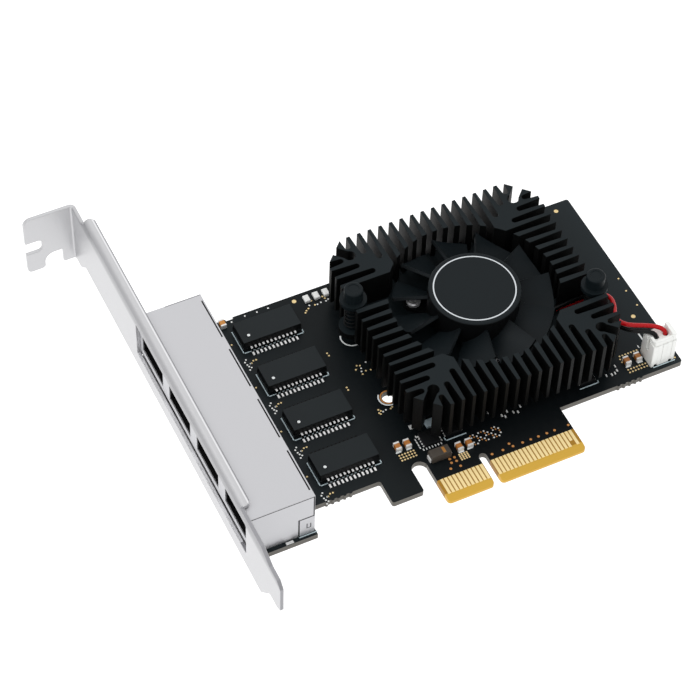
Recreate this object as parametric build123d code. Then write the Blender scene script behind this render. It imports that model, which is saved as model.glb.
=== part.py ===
from build123d import *
from math import acos, asin, atan2, cos, degrees, pi, radians, sin, sqrt, tan
import os

# Four port Ethernet adapter card for a x4 slot, with a full height bracket and a fan cooler.
# The origin lies on the leading edge of the contact tab, at the middle of the key notch and of
# the board's thickness. X runs from the bracket to the far end, Y away from the slot, Z out of
# the component side. All sizes are in millimetres.

# Board
board_thickness = 1.57
board_height = 68.8
board_end_x = 55.5
board_bracket_x = -57.15
board_shoulder_y = 12.8
board_belly_y = 11.5
board_toe_x = -43.1
board_toe_y = 4.4
corner_round = 0.6
far_notch_x = -36.05
far_notch_width = 1.9
far_notch_depth = 0.5
nub_radius = 0.42
nub_pitch = 1.5
nub_sink = 0.1
right_nubs = (38.3, 5)
left_nubs = (-37.6, 5)

# Contact tab
finger_left_x = -12.6
finger_right_x = 22.6
key_width = 1.9
key_depth = 8.8
finger_round = 0.9
bevel_length = 1.5
bevel_depth = 0.4
pad_pitch = 1.0
pad_width = 0.7
pad_end_y = 6.2
pad_start_y = 1.9
pad_thickness = 0.05
pads_left = 11
pads_right = 21
pad_edge_gap = 1.1
short_pad_start_y = 3.4

# Retention hook beside the contact tab
hook_left_x = -24.3
hook_right_x = -16.4
hook_end_y = 4.9
hook_slot_top_y = 12.8

# Bracket
sheet = 0.86
bracket_inner_x = -59.05
bracket_low_z = -2.85
bracket_width = 18.42
bracket_tip_y = -11.92
bracket_length = 120.02
bend_radius = 0.5
flange_depth = 2.6
flange_low_y = 8.6
flange_top_gap = 8.9
flange_shoulder = 2.4
flange_round = 1.5
tab_length = 12.3
tab_shift = 3.3
tab_width = 18.42
tab_neck = 6.6
screw_slot_width = 3.9
screw_slot_depth = 4.2
screw_slot_z = 2.2
tab_notch_width = 4.8
tab_notch_depth = 4.6
tab_notch_from_end = 4.5
tongue_width = 10.19
tongue_shift = 1.7
tongue_start_y = -2.0
tongue_taper = 4.6
tongue_chamfer = 1.6
lug_width = 7.0
lug_reach = 9.6

# Jack block
port_count = 4
port_pitch = 15.65
jack_center_y = 36.69
jack_end = 7.755
jack_height = 13.63
jack_rear_x = -43.45
jack_front_gap = 0.1
shield_sheet = 0.3
shield_front_low = 1.5
window_side = 0.35
window_low = 0.8
window_high = 11.5
port_width = 11.7
port_floor = 3.2
port_top = 9.95
latch_width = 6.0
latch_top = 11.3
port_chamfer = 0.5
port_depth = 11.3
port_rim = 0.12
fit_gap = 0.05
contact_pitch = 1.02
contact_count = 8
contact_width = 0.42
contact_thickness = 0.3
contact_tip_z = 5.2
carrier_width = 10.0
carrier_leg = 2.6
carrier_front_back = 2.2
contact_sink = 0.95
groove_width = 0.52
tail_depth = 1.3
shield_slit = 0.35
wing_length = 4.0
wing_height = 6.4
shield_tab_width = 1.5
insert_radius = 1.6
insert_height = 4.5

# Bracket screws
screw_radius = 1.25
screw_clearance = 0.15
screw_head_radius = 2.4
screw_head_height = 1.3
screw_setback = 6.0
cross_width = 0.6

# Line transformers
transformer_x = -29.45
transformer_first_y = 19.8
transformer_pitch = 13.9
transformer_length = 15.0
transformer_width = 6.8
transformer_height = 2.9
transformer_parting = 1.1
transformer_standoff = 0.1
transformer_draft = 5
lead_count = 12
lead_pitch = 1.02
lead_width = 0.45
lead_thickness = 0.2
lead_span = 10.7
lead_foot = 0.95
lead_shoulder = 0.55

# Cooler
cooler_x = 14.5
cooler_y = 41.9
cooler_size_x = 55.2
cooler_size_y = 54.2
cooler_low = 2.9
cooler_high = 14.4
cooler_floor = 2.4
well_radius = 20.3
base_rim = 1.3
fin_pitch = 2.8
fin_last = 7
fin_tip = 0.75
fin_root = 1.35
rib_half = 3.4
corner_cut = 6.0
corner_hole = 21.7
corner_hole_radius = 1.4
corner_slot_width = 2.3
pin_off_x = 26.5
pin_off_y = 9.8
pin_gap_first = 2
pin_gap_last = 5
ear_radius = 3.2
ear_thickness = 1.7

# Push pins
pin_radius = 1.5
pin_hole_gap = 0.1
pin_collar_radius = 3.2
pin_collar_low = 13.2
pin_collar_high = 14.3
pin_cap_radius = 2.25
pin_cap_high = 17.7
pin_dimple_radius = 1.35
pin_dimple_depth = 0.12
pin_barb_radius = 2.0
pin_barb_length = 2.0
pin_split = 0.5
spring_wire = 0.45
spring_radius = 1.83
spring_turns = 6

# Controller under the cooler
chip_size = 19.0
chip_thickness = 1.0
lid_size = 15.0
lid_thickness = 1.2
thermal_pad_size = 15.0

# Fan
blade_count = 11
blade_tip_radius = 19.0
blade_low = 7.9
blade_high = 13.6
blade_sheet = 0.8
blade_turn = 27.0
blade_first_angle = 29.0
blade_bow = 0.9
hub_radius = 10.9
hub_low = 7.6
hub_high = 15.5
hub_wall = 1.0
hub_round = 0.5
ring_radius = 9.75
ring_width = 0.32
ring_depth = 0.15
yoke_thickness = 0.6
magnet_thickness = 1.5
magnet_height = 4.0
air_gap = 0.4
shaft_radius = 1.0
bearing_gap = 0.03
bearing_wall = 1.0
bearing_low = 6.9
bearing_ledge = 0.25
fan_pan = 0.4
bearing_high = 12.4
sleeve_wall = 0.7
fan_plate = 1.0
fan_plate_radius = 8.6
fan_circuit_thickness = 0.5
fan_circuit_rim = 0.4
wire_notch_angle = -32.0
wire_notch_start = 6.85
wire_notch_width = 2.7
fan_screw_circle = 14.1
fan_screw_angle = 142.0
fan_screw_count = 3
fan_arm_width = 4.6
fan_screw_head = 1.7
fan_screw_head_height = 0.9
fan_screw_radius = 0.9
stator_poles = 4
stator_low = 8.1
stator_high = 11.1
pole_width = 2.2
pole_face_angle = 66.0
pole_face = 0.9
coil_thickness = 0.9

# Fan lead, plug and header
wire_diameter = 1.1
header_x = 50.85
header_y = 16.8
header_length = 6.3
header_depth = 5.2
header_wall = 0.7
header_floor = 1.0
header_height = 7.2
header_slot = 1.3
header_side_slot = 0.9
header_side_slot_low = 3.6
header_foot_width = 0.9
header_foot_height = 0.7
header_foot_inset = 1.2
header_pitch = 2.5
header_pin = 0.6
header_pin_high = 5.6
header_pin_low = 1.3
plug_gap = 0.05
plug_high = 9.4
plug_flange = 0.5
plug_plate = 0.35
plug_block = 1.0
plug_front_wall = 0.7
plug_wall_high = 8.6
plug_left_wall_high = 8.3
plug_left_wall_length = 1.9
plug_block_back = 0.55
plug_wire_hole = 0.68
plug_wire_depth = 1.2

# Small parts on the board
capacitor_width = 1.3
capacitor_length = 2.1
capacitor_height = 1.2
capacitor_end = 0.45
capacitor_places = [(-16.7, 18.0), (-14.3, 17.9), (-3.9, 12.2), (-1.4, 12.2), (43.3, 17.9), (46.2, 17.9)]
far_capacitor_x = -38.3
far_capacitor_inset = 1.4
bead_width = 1.4
bead_length = 2.0
bead_height = 0.8
bead_xs = [-16.9, -14.4, -11.9]
bead_inset = 2.5
block_x = -9.0
block_y = 12.0
block_length = 5.0
block_width = 2.5
block_height = 2.2
block_tab = 0.25
power_chip_size = 4.0
power_chip_height = 0.9
power_chip_places = [(-8.9, 17.5), (-3.1, 18.2), (32.0, 18.2)]
power_pad_count = 5
power_pad_pitch = 0.75
crystal_x = -6.8
crystal_y = 21.2
crystal_length = 2.5
crystal_width = 2.0
crystal_height = 0.7

# Worked out from the sizes above
board_top = board_thickness / 2
board_bottom = -board_thickness / 2
bracket_outer_x = bracket_inner_x - sheet
bracket_high_z = bracket_low_z + bracket_width
bracket_top_y = bracket_tip_y + bracket_length
flange_high_y = bracket_top_y - flange_top_gap
tab_low_z = bracket_low_z - tab_shift
tab_high_z = tab_low_z + tab_width
tab_end_x = bracket_outer_x - tab_length
jack_length = (port_count - 1) * port_pitch + 2 * jack_end
jack_low_y = jack_center_y - jack_length / 2
jack_high_y = jack_center_y + jack_length / 2
jack_front_x = bracket_inner_x + jack_front_gap
jack_top = board_top + jack_height
screw_x = bracket_inner_x + screw_setback
screw_ys = [jack_center_y - port_pitch, jack_center_y + port_pitch]
port_ys = [jack_center_y + port_pitch * (i - (port_count - 1) / 2) for i in range(port_count)]
transformer_ys = [transformer_first_y + transformer_pitch * i for i in range(port_count)]
cooler_bottom_z = board_top + cooler_low
cooler_top_z = board_top + cooler_high
cooler_floor_z = cooler_bottom_z + cooler_floor
base_half = well_radius + base_rim
pin_places = [(cooler_x - pin_off_x, cooler_y + pin_off_y), (cooler_x + pin_off_x, cooler_y - pin_off_y)]
spare_places = [(cooler_x - pin_off_x, cooler_y - pin_off_y), (cooler_x + pin_off_x, cooler_y + pin_off_y)]
fan_plate_top_z = cooler_floor_z + fan_plate
yoke_radius = hub_radius - hub_wall
magnet_outer = yoke_radius - yoke_thickness
stator_radius = magnet_outer - magnet_thickness - air_gap
bearing_radius = shaft_radius + bearing_gap + bearing_wall
sleeve_radius = bearing_radius + sleeve_wall
plug_flange_z = board_top + header_height + plug_gap
plug_channel_z = plug_flange_z + plug_plate
wire_end_z = plug_channel_z - plug_wire_depth
all_capacitors = capacitor_places + [(far_capacitor_x, board_height - far_capacitor_inset)]
bead_places = [(x, board_height - bead_inset) for x in bead_xs]


def slab(x0, x1, y0, y1, z0, z1):
    """Box between two corners."""
    return Pos((x0 + x1) / 2, (y0 + y1) / 2, (z0 + z1) / 2) * Box(x1 - x0, y1 - y0, z1 - z0)


def rod(x, y, z0, z1, radius):
    """Upright cylinder between two heights."""
    return Pos(x, y, (z0 + z1) / 2) * Cylinder(radius, z1 - z0)


def outline_xy(points, z0, z1):
    """Plate with a straight sided outline, lying flat."""
    return Pos(0, 0, z0) * extrude(make_face(Polyline(*points, close=True)), z1 - z0)


def outline_xz(points, y0, y1):
    """Plate whose outline is drawn in X and Z, running along Y."""
    face = Plane.XZ * make_face(Polyline(*points, close=True))
    return Pos(0, y0, 0) * extrude(face, y1 - y0, dir=(0, 1, 0))


def outline_yz(points, x0, x1):
    """Plate whose outline is drawn in Y and Z, running along X."""
    face = Plane.YZ * make_face(Polyline(*points, close=True))
    return Pos(x0, 0, 0) * extrude(face, x1 - x0, dir=(1, 0, 0))


def ribbon(points, thickness):
    """Outline of a bent strip: the centre line moved half a thickness to each side, mitred."""
    left = []
    right = []
    last = len(points) - 1
    for i, (x, y) in enumerate(points):
        before = points[max(i - 1, 0)]
        after = points[min(i + 1, last)]
        a1 = atan2(y - before[1], x - before[0]) if i > 0 else None
        a2 = atan2(after[1] - y, after[0] - x) if i < last else None
        a1 = a2 if a1 is None else a1
        a2 = a1 if a2 is None else a2
        turn = (a2 - a1 + pi) % (2 * pi) - pi
        middle = a1 + turn / 2
        reach = thickness / 2 / cos(turn / 2)
        left.append((x - reach * sin(middle), y + reach * cos(middle)))
        right.append((x + reach * sin(middle), y - reach * cos(middle)))
    return left + right[::-1]


def near(shapes, x, y):
    """The vertex or upright edge closest to a place seen from above."""
    return min(shapes, key=lambda s: (s.center().X - x) ** 2 + (s.center().Y - y) ** 2)


def group(solids):
    """Several separate solids kept as one node."""
    return Compound(children=list(solids))


def break_off_nubs(row, edge_y):
    """Rounded nubs left on an edge where the board was broken out of its panel."""
    start, count = row
    return [Pos(start + nub_pitch * i, edge_y + nub_sink) * Circle(nub_radius) for i in range(count)]


def board_outline():
    """Face of the board with its contact tab, hook and the toe under the jacks."""
    points = [(board_bracket_x, board_toe_y), (board_toe_x, board_toe_y), (board_toe_x, board_belly_y),
              (hook_left_x, board_belly_y), (hook_left_x, hook_end_y), (hook_right_x, hook_end_y),
              (hook_right_x, board_belly_y), (finger_left_x, board_belly_y), (finger_left_x, 0),
              (finger_right_x, 0), (finger_right_x, board_shoulder_y), (board_end_x, board_shoulder_y),
              (board_end_x, board_height), (board_bracket_x, board_height)]
    face = make_face(Polyline(*points, close=True))
    slot_radius = (finger_left_x - hook_right_x) / 2
    slot_x = (finger_left_x + hook_right_x) / 2
    face -= Pos(slot_x, hook_slot_top_y - slot_radius) * Circle(slot_radius)
    key_mid = (key_depth - key_width / 2) / 2
    face -= Pos(0, key_mid) * Rectangle(key_width, 2 * key_mid)
    face -= Pos(0, key_depth - key_width / 2) * Circle(key_width / 2)
    tips = [(finger_left_x, 0), (-key_width / 2, 0), (key_width / 2, 0), (finger_right_x, 0)]
    face = fillet([near(face.vertices(), x, y) for x, y in tips], finger_round)
    corners = [(board_end_x, board_shoulder_y), (board_end_x, board_height), (hook_left_x, hook_end_y),
               (hook_right_x, hook_end_y), (hook_left_x, board_belly_y)]
    face = fillet([near(face.vertices(), x, y) for x, y in corners], corner_round)
    face -= Pos(far_notch_x, board_height) * Rectangle(far_notch_width, 2 * far_notch_depth)
    return face + break_off_nubs(right_nubs, board_shoulder_y) + break_off_nubs(left_nubs, board_belly_y)


def contact_ys(center):
    """Places of the eight contacts of one port, along Y."""
    return [center + contact_pitch * (i - (contact_count - 1) / 2) for i in range(contact_count)]


def tail_x():
    """Where the jack contacts go down through the board."""
    return jack_rear_x - shield_sheet - carrier_leg / 2 - fit_gap


def shield_tabs():
    """Solder tabs under the shield, as (x, y) places of their middles."""
    side = shield_sheet / 2
    xs = [jack_front_x + 2.6, jack_rear_x - 6.5]
    return [(x, y) for x in xs for y in (jack_low_y + side, jack_high_y - side)]


def header_pin_xs():
    """Places of the two header pins along X."""
    return [header_x - header_pitch / 2, header_x + header_pitch / 2]


def make_board():
    """Board with its bevelled contact edge and every hole that a part passes through."""
    board = Pos(0, 0, board_bottom) * extrude(board_outline(), board_thickness)
    for side in (1, -1):
        wedge = [(-0.5, side * (board_top - bevel_depth * (1 + 0.5 / bevel_length))),
                 (bevel_length, side * board_top), (bevel_length, side * (board_top + 1)),
                 (-0.5, side * (board_top + 1))]
        board -= outline_yz(wedge, finger_left_x - 1, finger_right_x + 1)
    for x, y in pin_places + spare_places:
        board -= rod(x, y, board_bottom - 1, board_top + 1, pin_radius + pin_hole_gap)
    for y in screw_ys:
        board -= rod(screw_x, y, board_bottom - 1, board_top + 1, screw_radius + screw_clearance)
    half = contact_width / 2 + fit_gap
    cuts = []
    for center in port_ys:
        for y in contact_ys(center):
            x = tail_x()
            cuts.append(slab(x - half, x + half, y - half, y + half, board_bottom - 1, board_top + 1))
    for x, y in shield_tabs():
        wide = shield_tab_width / 2 + fit_gap
        thin = shield_sheet / 2 + fit_gap
        cuts.append(slab(x - wide, x + wide, y - thin, y + thin, board_bottom - 1, board_top + 1))
    for x in header_pin_xs():
        r = header_pin / 2 + fit_gap
        cuts.append(slab(x - r, x + r, header_y - r, header_y + r, board_bottom - 1, board_top + 1))
    return board - cuts


def pad_row_xs():
    """Centres of the contact pads on both sides of the key."""
    left = [finger_left_x + pad_edge_gap + pad_pitch * i for i in range(pads_left)]
    right = [finger_right_x - pad_edge_gap - pad_pitch * i for i in range(pads_right)]
    return left + sorted(right)


def make_pads(side):
    """Gold contact pads on one face of the contact tab, the last but one shorter."""
    xs = pad_row_xs()
    pads = []
    for i, x in enumerate(xs):
        start = short_pad_start_y if i == len(xs) - 2 and side > 0 else pad_start_y
        z0 = board_top if side > 0 else board_bottom - pad_thickness
        pads.append(slab(x - pad_width / 2, x + pad_width / 2, start, pad_end_y, z0, z0 + pad_thickness))
    return group(pads)


def folded_edge(x0, reach, z1, y0, y1):
    """Upright sheet with its top edge folded over towards +X, with true bend radii."""
    outer = bend_radius + sheet
    with BuildPart() as part:
        with BuildSketch(Plane.XZ):
            with BuildLine():
                Line((x0, z1 - outer - 1), (x0, z1 - outer))
                ThreePointArc((x0, z1 - outer),
                              (x0 + outer * (1 - cos(pi / 4)), z1 - outer * (1 - sin(pi / 4))),
                              (x0 + outer, z1))
                Line((x0 + outer, z1), (x0 + reach, z1))
                Line((x0 + reach, z1), (x0 + reach, z1 - sheet))
                Line((x0 + reach, z1 - sheet), (x0 + outer, z1 - sheet))
                ThreePointArc((x0 + outer, z1 - sheet),
                              (x0 + outer - bend_radius * sin(pi / 4),
                               z1 - outer + bend_radius * cos(pi / 4)),
                              (x0 + sheet, z1 - outer))
                Line((x0 + sheet, z1 - outer), (x0 + sheet, z1 - outer - 1))
                Line((x0 + sheet, z1 - outer - 1), (x0, z1 - outer - 1))
            make_face()
        extrude(amount=y1 - y0, dir=(0, 1, 0))
    flange = Pos(0, y0, 0) * part.part
    corners = flange.edges().filter_by(Axis.Z).group_by(Axis.X)[-1]
    return fillet(corners, flange_round)


def bracket_face():
    """Outline of the bracket's upright face, tongue at the bottom and neck at the top."""
    fold_y = bracket_top_y - sheet - bend_radius
    neck_y = bracket_top_y - tab_neck
    middle = (bracket_low_z + bracket_high_z) / 2 + tongue_shift
    left = middle - tongue_width / 2
    right = middle + tongue_width / 2
    fold_line = bracket_high_z - bend_radius - sheet - 0.5
    points = [(fold_y, tab_low_z), (neck_y + 2.2, tab_low_z), (neck_y - 1.2, bracket_low_z),
              (tongue_start_y, bracket_low_z), (tongue_start_y - tongue_taper, left),
              (bracket_tip_y + tongue_chamfer, left), (bracket_tip_y, left + tongue_chamfer / 2),
              (bracket_tip_y, right - tongue_chamfer), (bracket_tip_y + tongue_chamfer, right),
              (tongue_start_y - tongue_taper, right), (tongue_start_y, bracket_high_z - 0.4),
              (flange_low_y, bracket_high_z - 0.4), (flange_low_y, fold_line), (flange_high_y, fold_line),
              (flange_high_y + flange_shoulder, tab_high_z), (fold_y, tab_high_z)]
    face = outline_yz(points, bracket_outer_x, bracket_inner_x)
    soft = [(tongue_start_y, bracket_low_z), (tongue_start_y - tongue_taper, left),
            (tongue_start_y - tongue_taper, right), (neck_y - 1.2, bracket_low_z), (neck_y + 2.2, tab_low_z),
            (tongue_start_y, bracket_high_z - 0.4)]
    edges = face.edges().filter_by(Axis.X)
    chosen = [min(edges, key=lambda e: (e.center().Y - y) ** 2 + (e.center().Z - z) ** 2) for y, z in soft]
    return fillet(chosen, 1.2)


def bracket_tab():
    """Screw tab folded outward at the top of the bracket, with its open screw slot and notch."""
    outer = bend_radius + sheet
    y1 = bracket_top_y
    x_fold = bracket_inner_x
    with BuildPart() as part:
        with BuildSketch(Plane.XY.offset(tab_low_z)):
            with BuildLine():
                Line((tab_end_x, y1), (x_fold - outer, y1))
                ThreePointArc((x_fold - outer, y1),
                              (x_fold - outer * (1 - cos(pi / 4)), y1 - outer * (1 - sin(pi / 4))),
                              (x_fold, y1 - outer))
                Line((x_fold, y1 - outer), (x_fold - sheet, y1 - outer))
                ThreePointArc((x_fold - sheet, y1 - outer),
                              (x_fold - outer + bend_radius * cos(pi / 4),
                               y1 - outer + bend_radius * sin(pi / 4)),
                              (x_fold - outer, y1 - sheet))
                Line((x_fold - outer, y1 - sheet), (tab_end_x, y1 - sheet))
                Line((tab_end_x, y1 - sheet), (tab_end_x, y1))
            make_face()
        extrude(amount=tab_width)
    tab = part.part
    y0 = y1 - sheet - 1
    slot = slab(tab_end_x - 1, tab_end_x + screw_slot_depth, y0, y1 + 1, screw_slot_z - screw_slot_width / 2,
                screw_slot_z + screw_slot_width / 2)
    slot_ends = slot.edges().filter_by(Axis.Y).group_by(Axis.X)[-1]
    tab -= fillet(slot_ends, screw_slot_width * 0.3)
    notch_x = tab_end_x + tab_notch_from_end
    notch = slab(notch_x, notch_x + tab_notch_width, y0, y1 + 1, tab_low_z - 1, tab_low_z + tab_notch_depth)
    tops = notch.edges().filter_by(Axis.Y).group_by(Axis.Z)[-1].sort_by(Axis.X)
    notch = fillet(tops[0], tab_notch_width * 0.55)
    tops = notch.edges().filter_by(Axis.Y).group_by(Axis.X)[-1].sort_by(Axis.Z)
    tab -= fillet(tops[-1], 0.6)
    corners = tab.edges().filter_by(Axis.Y)
    corners = [e for e in corners if e.center().X < tab_end_x + tab_notch_from_end + 0.1]
    outer_corner = max(corners, key=lambda e: e.center().Z - e.center().X)
    rest = [e for e in corners if e.center().Z < tab_low_z + 0.01]
    tab = fillet(outer_corner, 2.0)
    for place in [e.center() for e in rest]:
        edge = min(tab.edges().filter_by(Axis.Y), key=lambda e: (e.center() - place).length)
        tab = fillet(edge, 1.0)
    return tab


def jack_window():
    """Cut in the bracket face in front of the four jacks."""
    y0 = jack_low_y + window_side
    y1 = jack_high_y - window_side
    z0 = board_top + window_low
    z1 = board_top + window_high
    block = slab(bracket_outer_x - 1, bracket_inner_x + 1, y0, y1, z0, z1)
    return fillet(block.edges().filter_by(Axis.X), 0.5)


def bracket_lug(y):
    """Lug on the inside of the bracket's face, lying flat under the board."""
    z1 = board_bottom
    x0 = bracket_inner_x - sheet / 2
    block = slab(x0, bracket_inner_x + lug_reach, y - lug_width / 2, y + lug_width / 2, z1 - sheet, z1)
    ends = block.edges().filter_by(Axis.Z).group_by(Axis.X)[-1]
    block = fillet(ends, 1.5)
    return block - rod(screw_x, y, z1 - sheet - 1, z1 + 1, screw_radius + screw_clearance)


def make_bracket():
    """Full height bracket: one folded sheet with flange, screw tab, window, lugs and tongue."""
    bracket = bracket_face()
    bracket += folded_edge(bracket_outer_x, flange_depth, bracket_high_z, flange_low_y, flange_high_y)
    bracket += bracket_tab()
    bracket -= jack_window()
    for y in screw_ys:
        bracket += bracket_lug(y)
    return bracket


def crossed_head(x, y, z0, height, radius, width, down):
    """Bevelled screw head with a cross recess, its flat side at z0."""
    head = rod(x, y, min(z0, z0 + down * height), max(z0, z0 + down * height), radius)
    rim = head.edges().filter_by(GeomType.CIRCLE)
    far = rim.sort_by(Axis.Z)[-1] if down > 0 else rim.sort_by(Axis.Z)[0]
    head = chamfer(far, height * 0.35)
    tip = z0 + down * height
    low, high = sorted((tip - down * height * 0.5, tip + down * 1))
    reach = radius * 0.62
    head -= slab(x - reach, x + reach, y - width / 2, y + width / 2, low, high)
    return head - slab(x - width / 2, x + width / 2, y - reach, y + reach, low, high)


def make_bracket_screws():
    """Screws from the solder side through lug and board into the jack block's inserts."""
    seat = board_bottom - sheet
    screws = []
    for y in screw_ys:
        head = crossed_head(screw_x, y, seat, screw_head_height, screw_head_radius, cross_width, -1)
        screws.append(head + rod(screw_x, y, seat, board_top + insert_height - 0.6, screw_radius))
    return group(screws)


def make_inserts():
    """Threaded brass inserts in the underside of the jack housing."""
    inserts = []
    for y in screw_ys:
        body = rod(screw_x, y, board_top, board_top + insert_height, insert_radius)
        bore = screw_radius + 0.02
        inserts.append(body - rod(screw_x, y, board_top - 1, board_top + insert_height + 1, bore))
    return group(inserts)


def port_profile(center, extra):
    """Outline of one port in Y and Z: the plug opening with its latch notch on top."""
    w = port_width / 2 + extra
    n = latch_width / 2 + extra
    z0 = board_top + port_floor - extra
    z1 = board_top + port_top + extra
    z2 = board_top + latch_top + extra
    c = port_chamfer
    right = [(w, z0), (w, z1 - c), (w - c, z1), (n, z1), (n, z2)]
    left = [(-y, z) for y, z in reversed(right)]
    return [(center + y, z) for y, z in right + left]


def wing_slit(y0, y1):
    """L shaped gap round the wing of the rear cover, through a side wall."""
    x0 = jack_rear_x - wing_length
    z1 = board_top + wing_height
    upright = slab(x0, x0 + shield_slit, y0, y1, board_top - 1, z1)
    return upright + slab(x0, jack_rear_x + 1, y0, y1, z1 - shield_slit, z1)


def make_shield():
    """Folded metal shield over the four jacks, with port cut-outs, slits and solder tabs."""
    s = shield_sheet
    shell = slab(jack_front_x, jack_rear_x, jack_low_y, jack_high_y, board_top, jack_top)
    shell -= slab(jack_front_x + s, jack_rear_x - s, jack_low_y + s, jack_high_y - s, board_top - 1,
                  jack_top - s)
    shell -= slab(jack_front_x - 1, jack_front_x + s + 1, jack_low_y + 2 * s, jack_high_y - 2 * s,
                  board_top - 1, board_top + shield_front_low)
    for center in port_ys:
        shell -= outline_yz(port_profile(center, port_rim), jack_front_x - 1, jack_front_x + s + 0.1)
        half = port_width / 2
        shell -= slab(jack_rear_x - s - shield_slit, jack_rear_x - s, center - half, center + half,
                      jack_top - s - 0.1, jack_top + 1)
    shell -= wing_slit(jack_low_y - 1, jack_low_y + s)
    shell -= wing_slit(jack_high_y - s, jack_high_y + 1)
    for x, y in shield_tabs():
        shell += slab(x - shield_tab_width / 2, x + shield_tab_width / 2, y - s / 2, y + s / 2,
                      board_bottom - 0.6, board_top + 0.5)
    return shell


def carrier_box(center, grow):
    """Space of one contact carrier, between the board and the floor of its port."""
    x1 = jack_rear_x - shield_sheet - fit_gap
    x0 = jack_front_x + shield_sheet + carrier_front_back
    y0 = center - carrier_width / 2 - grow
    y1 = center + carrier_width / 2 + grow
    return slab(x0 - grow, x1, y0, y1, board_top, board_top + port_floor)


def make_housing():
    """Black moulded housing of the four jacks, with plug cavities and carrier pockets."""
    s = shield_sheet + fit_gap
    body = slab(jack_front_x + s, jack_rear_x - s, jack_low_y + s, jack_high_y - s, board_top, jack_top - s)
    for center in port_ys:
        body -= outline_yz(port_profile(center, 0), jack_front_x - 1, jack_front_x + s + port_depth)
        body -= carrier_box(center, fit_gap)
    for y in screw_ys:
        body -= rod(screw_x, y, board_top - 1, board_top + insert_height, insert_radius + 0.02)
    return body


def contact_path():
    """Centre line of one jack contact in X and Z, from its tail to its free tip."""
    run = board_top + port_floor - contact_sink + contact_thickness / 2
    front = jack_front_x + shield_sheet + carrier_front_back
    x = tail_x()
    return [(x, board_bottom - tail_depth), (x, run), (front + 1.0, run), (front + 0.45, run + 0.9),
            (front + 1.0, run + 1.5), (front + 5.4, board_top + contact_tip_z)]


def make_contacts():
    """Thirty-two bent jack contacts, each down through the board."""
    profile = ribbon(contact_path(), contact_thickness)
    wires = []
    for center in port_ys:
        for y in contact_ys(center):
            wires.append(outline_xz(profile, y - contact_width / 2, y + contact_width / 2))
    return group(wires)


def make_carriers():
    """Moulded contact carriers, grooved for the wires, one behind each port."""
    bed = board_top + port_floor - contact_sink
    back = tail_x() + contact_thickness / 2
    front = jack_front_x
    carriers = []
    for center in port_ys:
        block = carrier_box(center, 0)
        grooves = []
        for y in contact_ys(center):
            y0 = y - groove_width / 2
            y1 = y + groove_width / 2
            grooves.append(slab(front, back, y0, y1, bed, bed + 2 * contact_sink))
            grooves.append(slab(back - contact_thickness - fit_gap, back, y0, y1, board_top - 1,
                                bed + contact_sink))
        carriers.append(block - grooves)
    return group(carriers)


def make_transformer(y):
    """Moulded body of one line transformer, drafted up and down from its parting line."""
    face = RectangleRounded(transformer_length, transformer_width, 0.3)
    parting = board_top + transformer_parting
    up = extrude(face, transformer_height - transformer_parting, taper=transformer_draft)
    down = extrude(face, -(transformer_parting - transformer_standoff), taper=transformer_draft)
    body = Pos(transformer_x, y, parting) * (up + down)
    top = board_top + transformer_height
    dimple_x = transformer_x - lead_pitch * (lead_count - 1) / 2
    return body - rod(dimple_x, y - transformer_width / 4, top - 0.12, top + 1, 0.55)


def make_transformer_leads(y):
    """Twenty-four gull-wing leads of one line transformer."""
    root = transformer_width / 2
    mid = board_top + transformer_parting
    foot = board_top + lead_thickness / 2
    end = lead_span / 2
    path = [(root, mid), (root + lead_shoulder, mid), (end - lead_foot, foot), (end, foot)]
    leads = []
    for side in (1, -1):
        profile = ribbon([(y + side * v, z) for v, z in path], lead_thickness)
        for i in range(lead_count):
            x = transformer_x + lead_pitch * (i - (lead_count - 1) / 2)
            leads.append(outline_yz(profile, x - lead_width / 2, x + lead_width / 2))
    return group(leads)


def fin_gap(center, start, end, rounded):
    """One gap between fins, narrow at its root and wider at the tips, along +Y from the middle."""
    root = (fin_pitch - fin_root) / 2
    tip = (fin_pitch - fin_tip) / 2
    points = [(center - root, start), (center + root, start), (center + tip, end), (center - tip, end)]
    gap = make_face(Polyline(*points, close=True))
    if rounded:
        gap += Pos(center, start) * Circle(root)
    return gap


def side_gaps(half_size, skipped):
    """Gaps of one side of the cooler, as seen with that side at +Y."""
    gaps = []
    for i in range(-fin_last - 1, fin_last + 1):
        if i in skipped:
            continue
        center = (i + 0.5) * fin_pitch
        ridge = abs(center) + rib_half
        inside = well_radius ** 2 - center ** 2
        well = sqrt(inside) if inside > 0 else 0
        open_to_well = well > ridge - 0.8
        start = well - 1.2 if open_to_well else ridge
        gaps.append(fin_gap(center, start, half_size + 1, not open_to_well))
    return gaps


def cooler_face():
    """Top view of the fins: a square with a round well, fin gaps and slotted corners."""
    half_x = cooler_size_x / 2
    half_y = cooler_size_y / 2
    face = Rectangle(cooler_size_x, cooler_size_y)
    face = chamfer(face.vertices(), corner_cut)
    cuts = [Circle(well_radius)]
    skipped = range(pin_gap_first, pin_gap_last)
    for turn, half, skip in ((0, half_y, ()), (180, half_y, ()), (90, half_x, list(skipped)),
                             (270, half_x, list(skipped))):
        for gap in side_gaps(half, skip):
            cuts.append(Rot(0, 0, turn) * gap)
    low = pin_gap_first * fin_pitch + fin_root / 2
    high = pin_gap_last * fin_pitch - fin_root / 2
    for side in (1, -1):
        reach = half_x - base_half / 2 + 2
        middle_y = side * (low + high) / 2
        cuts.append(Pos(-side * (half_x + 2 - reach / 2), middle_y) * Rectangle(reach, high - low))
    for sx in (1, -1):
        for sy in (1, -1):
            cuts.append(Pos(sx * corner_hole, sy * corner_hole) * Circle(corner_hole_radius))
            slot = Pos(corner_cut, 0) * Rectangle(2 * corner_cut, corner_slot_width)
            cuts.append(Pos(sx * corner_hole, sy * corner_hole) * Rot(0, 0, degrees(atan2(sy, sx))) * slot)
    return face - cuts


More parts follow.
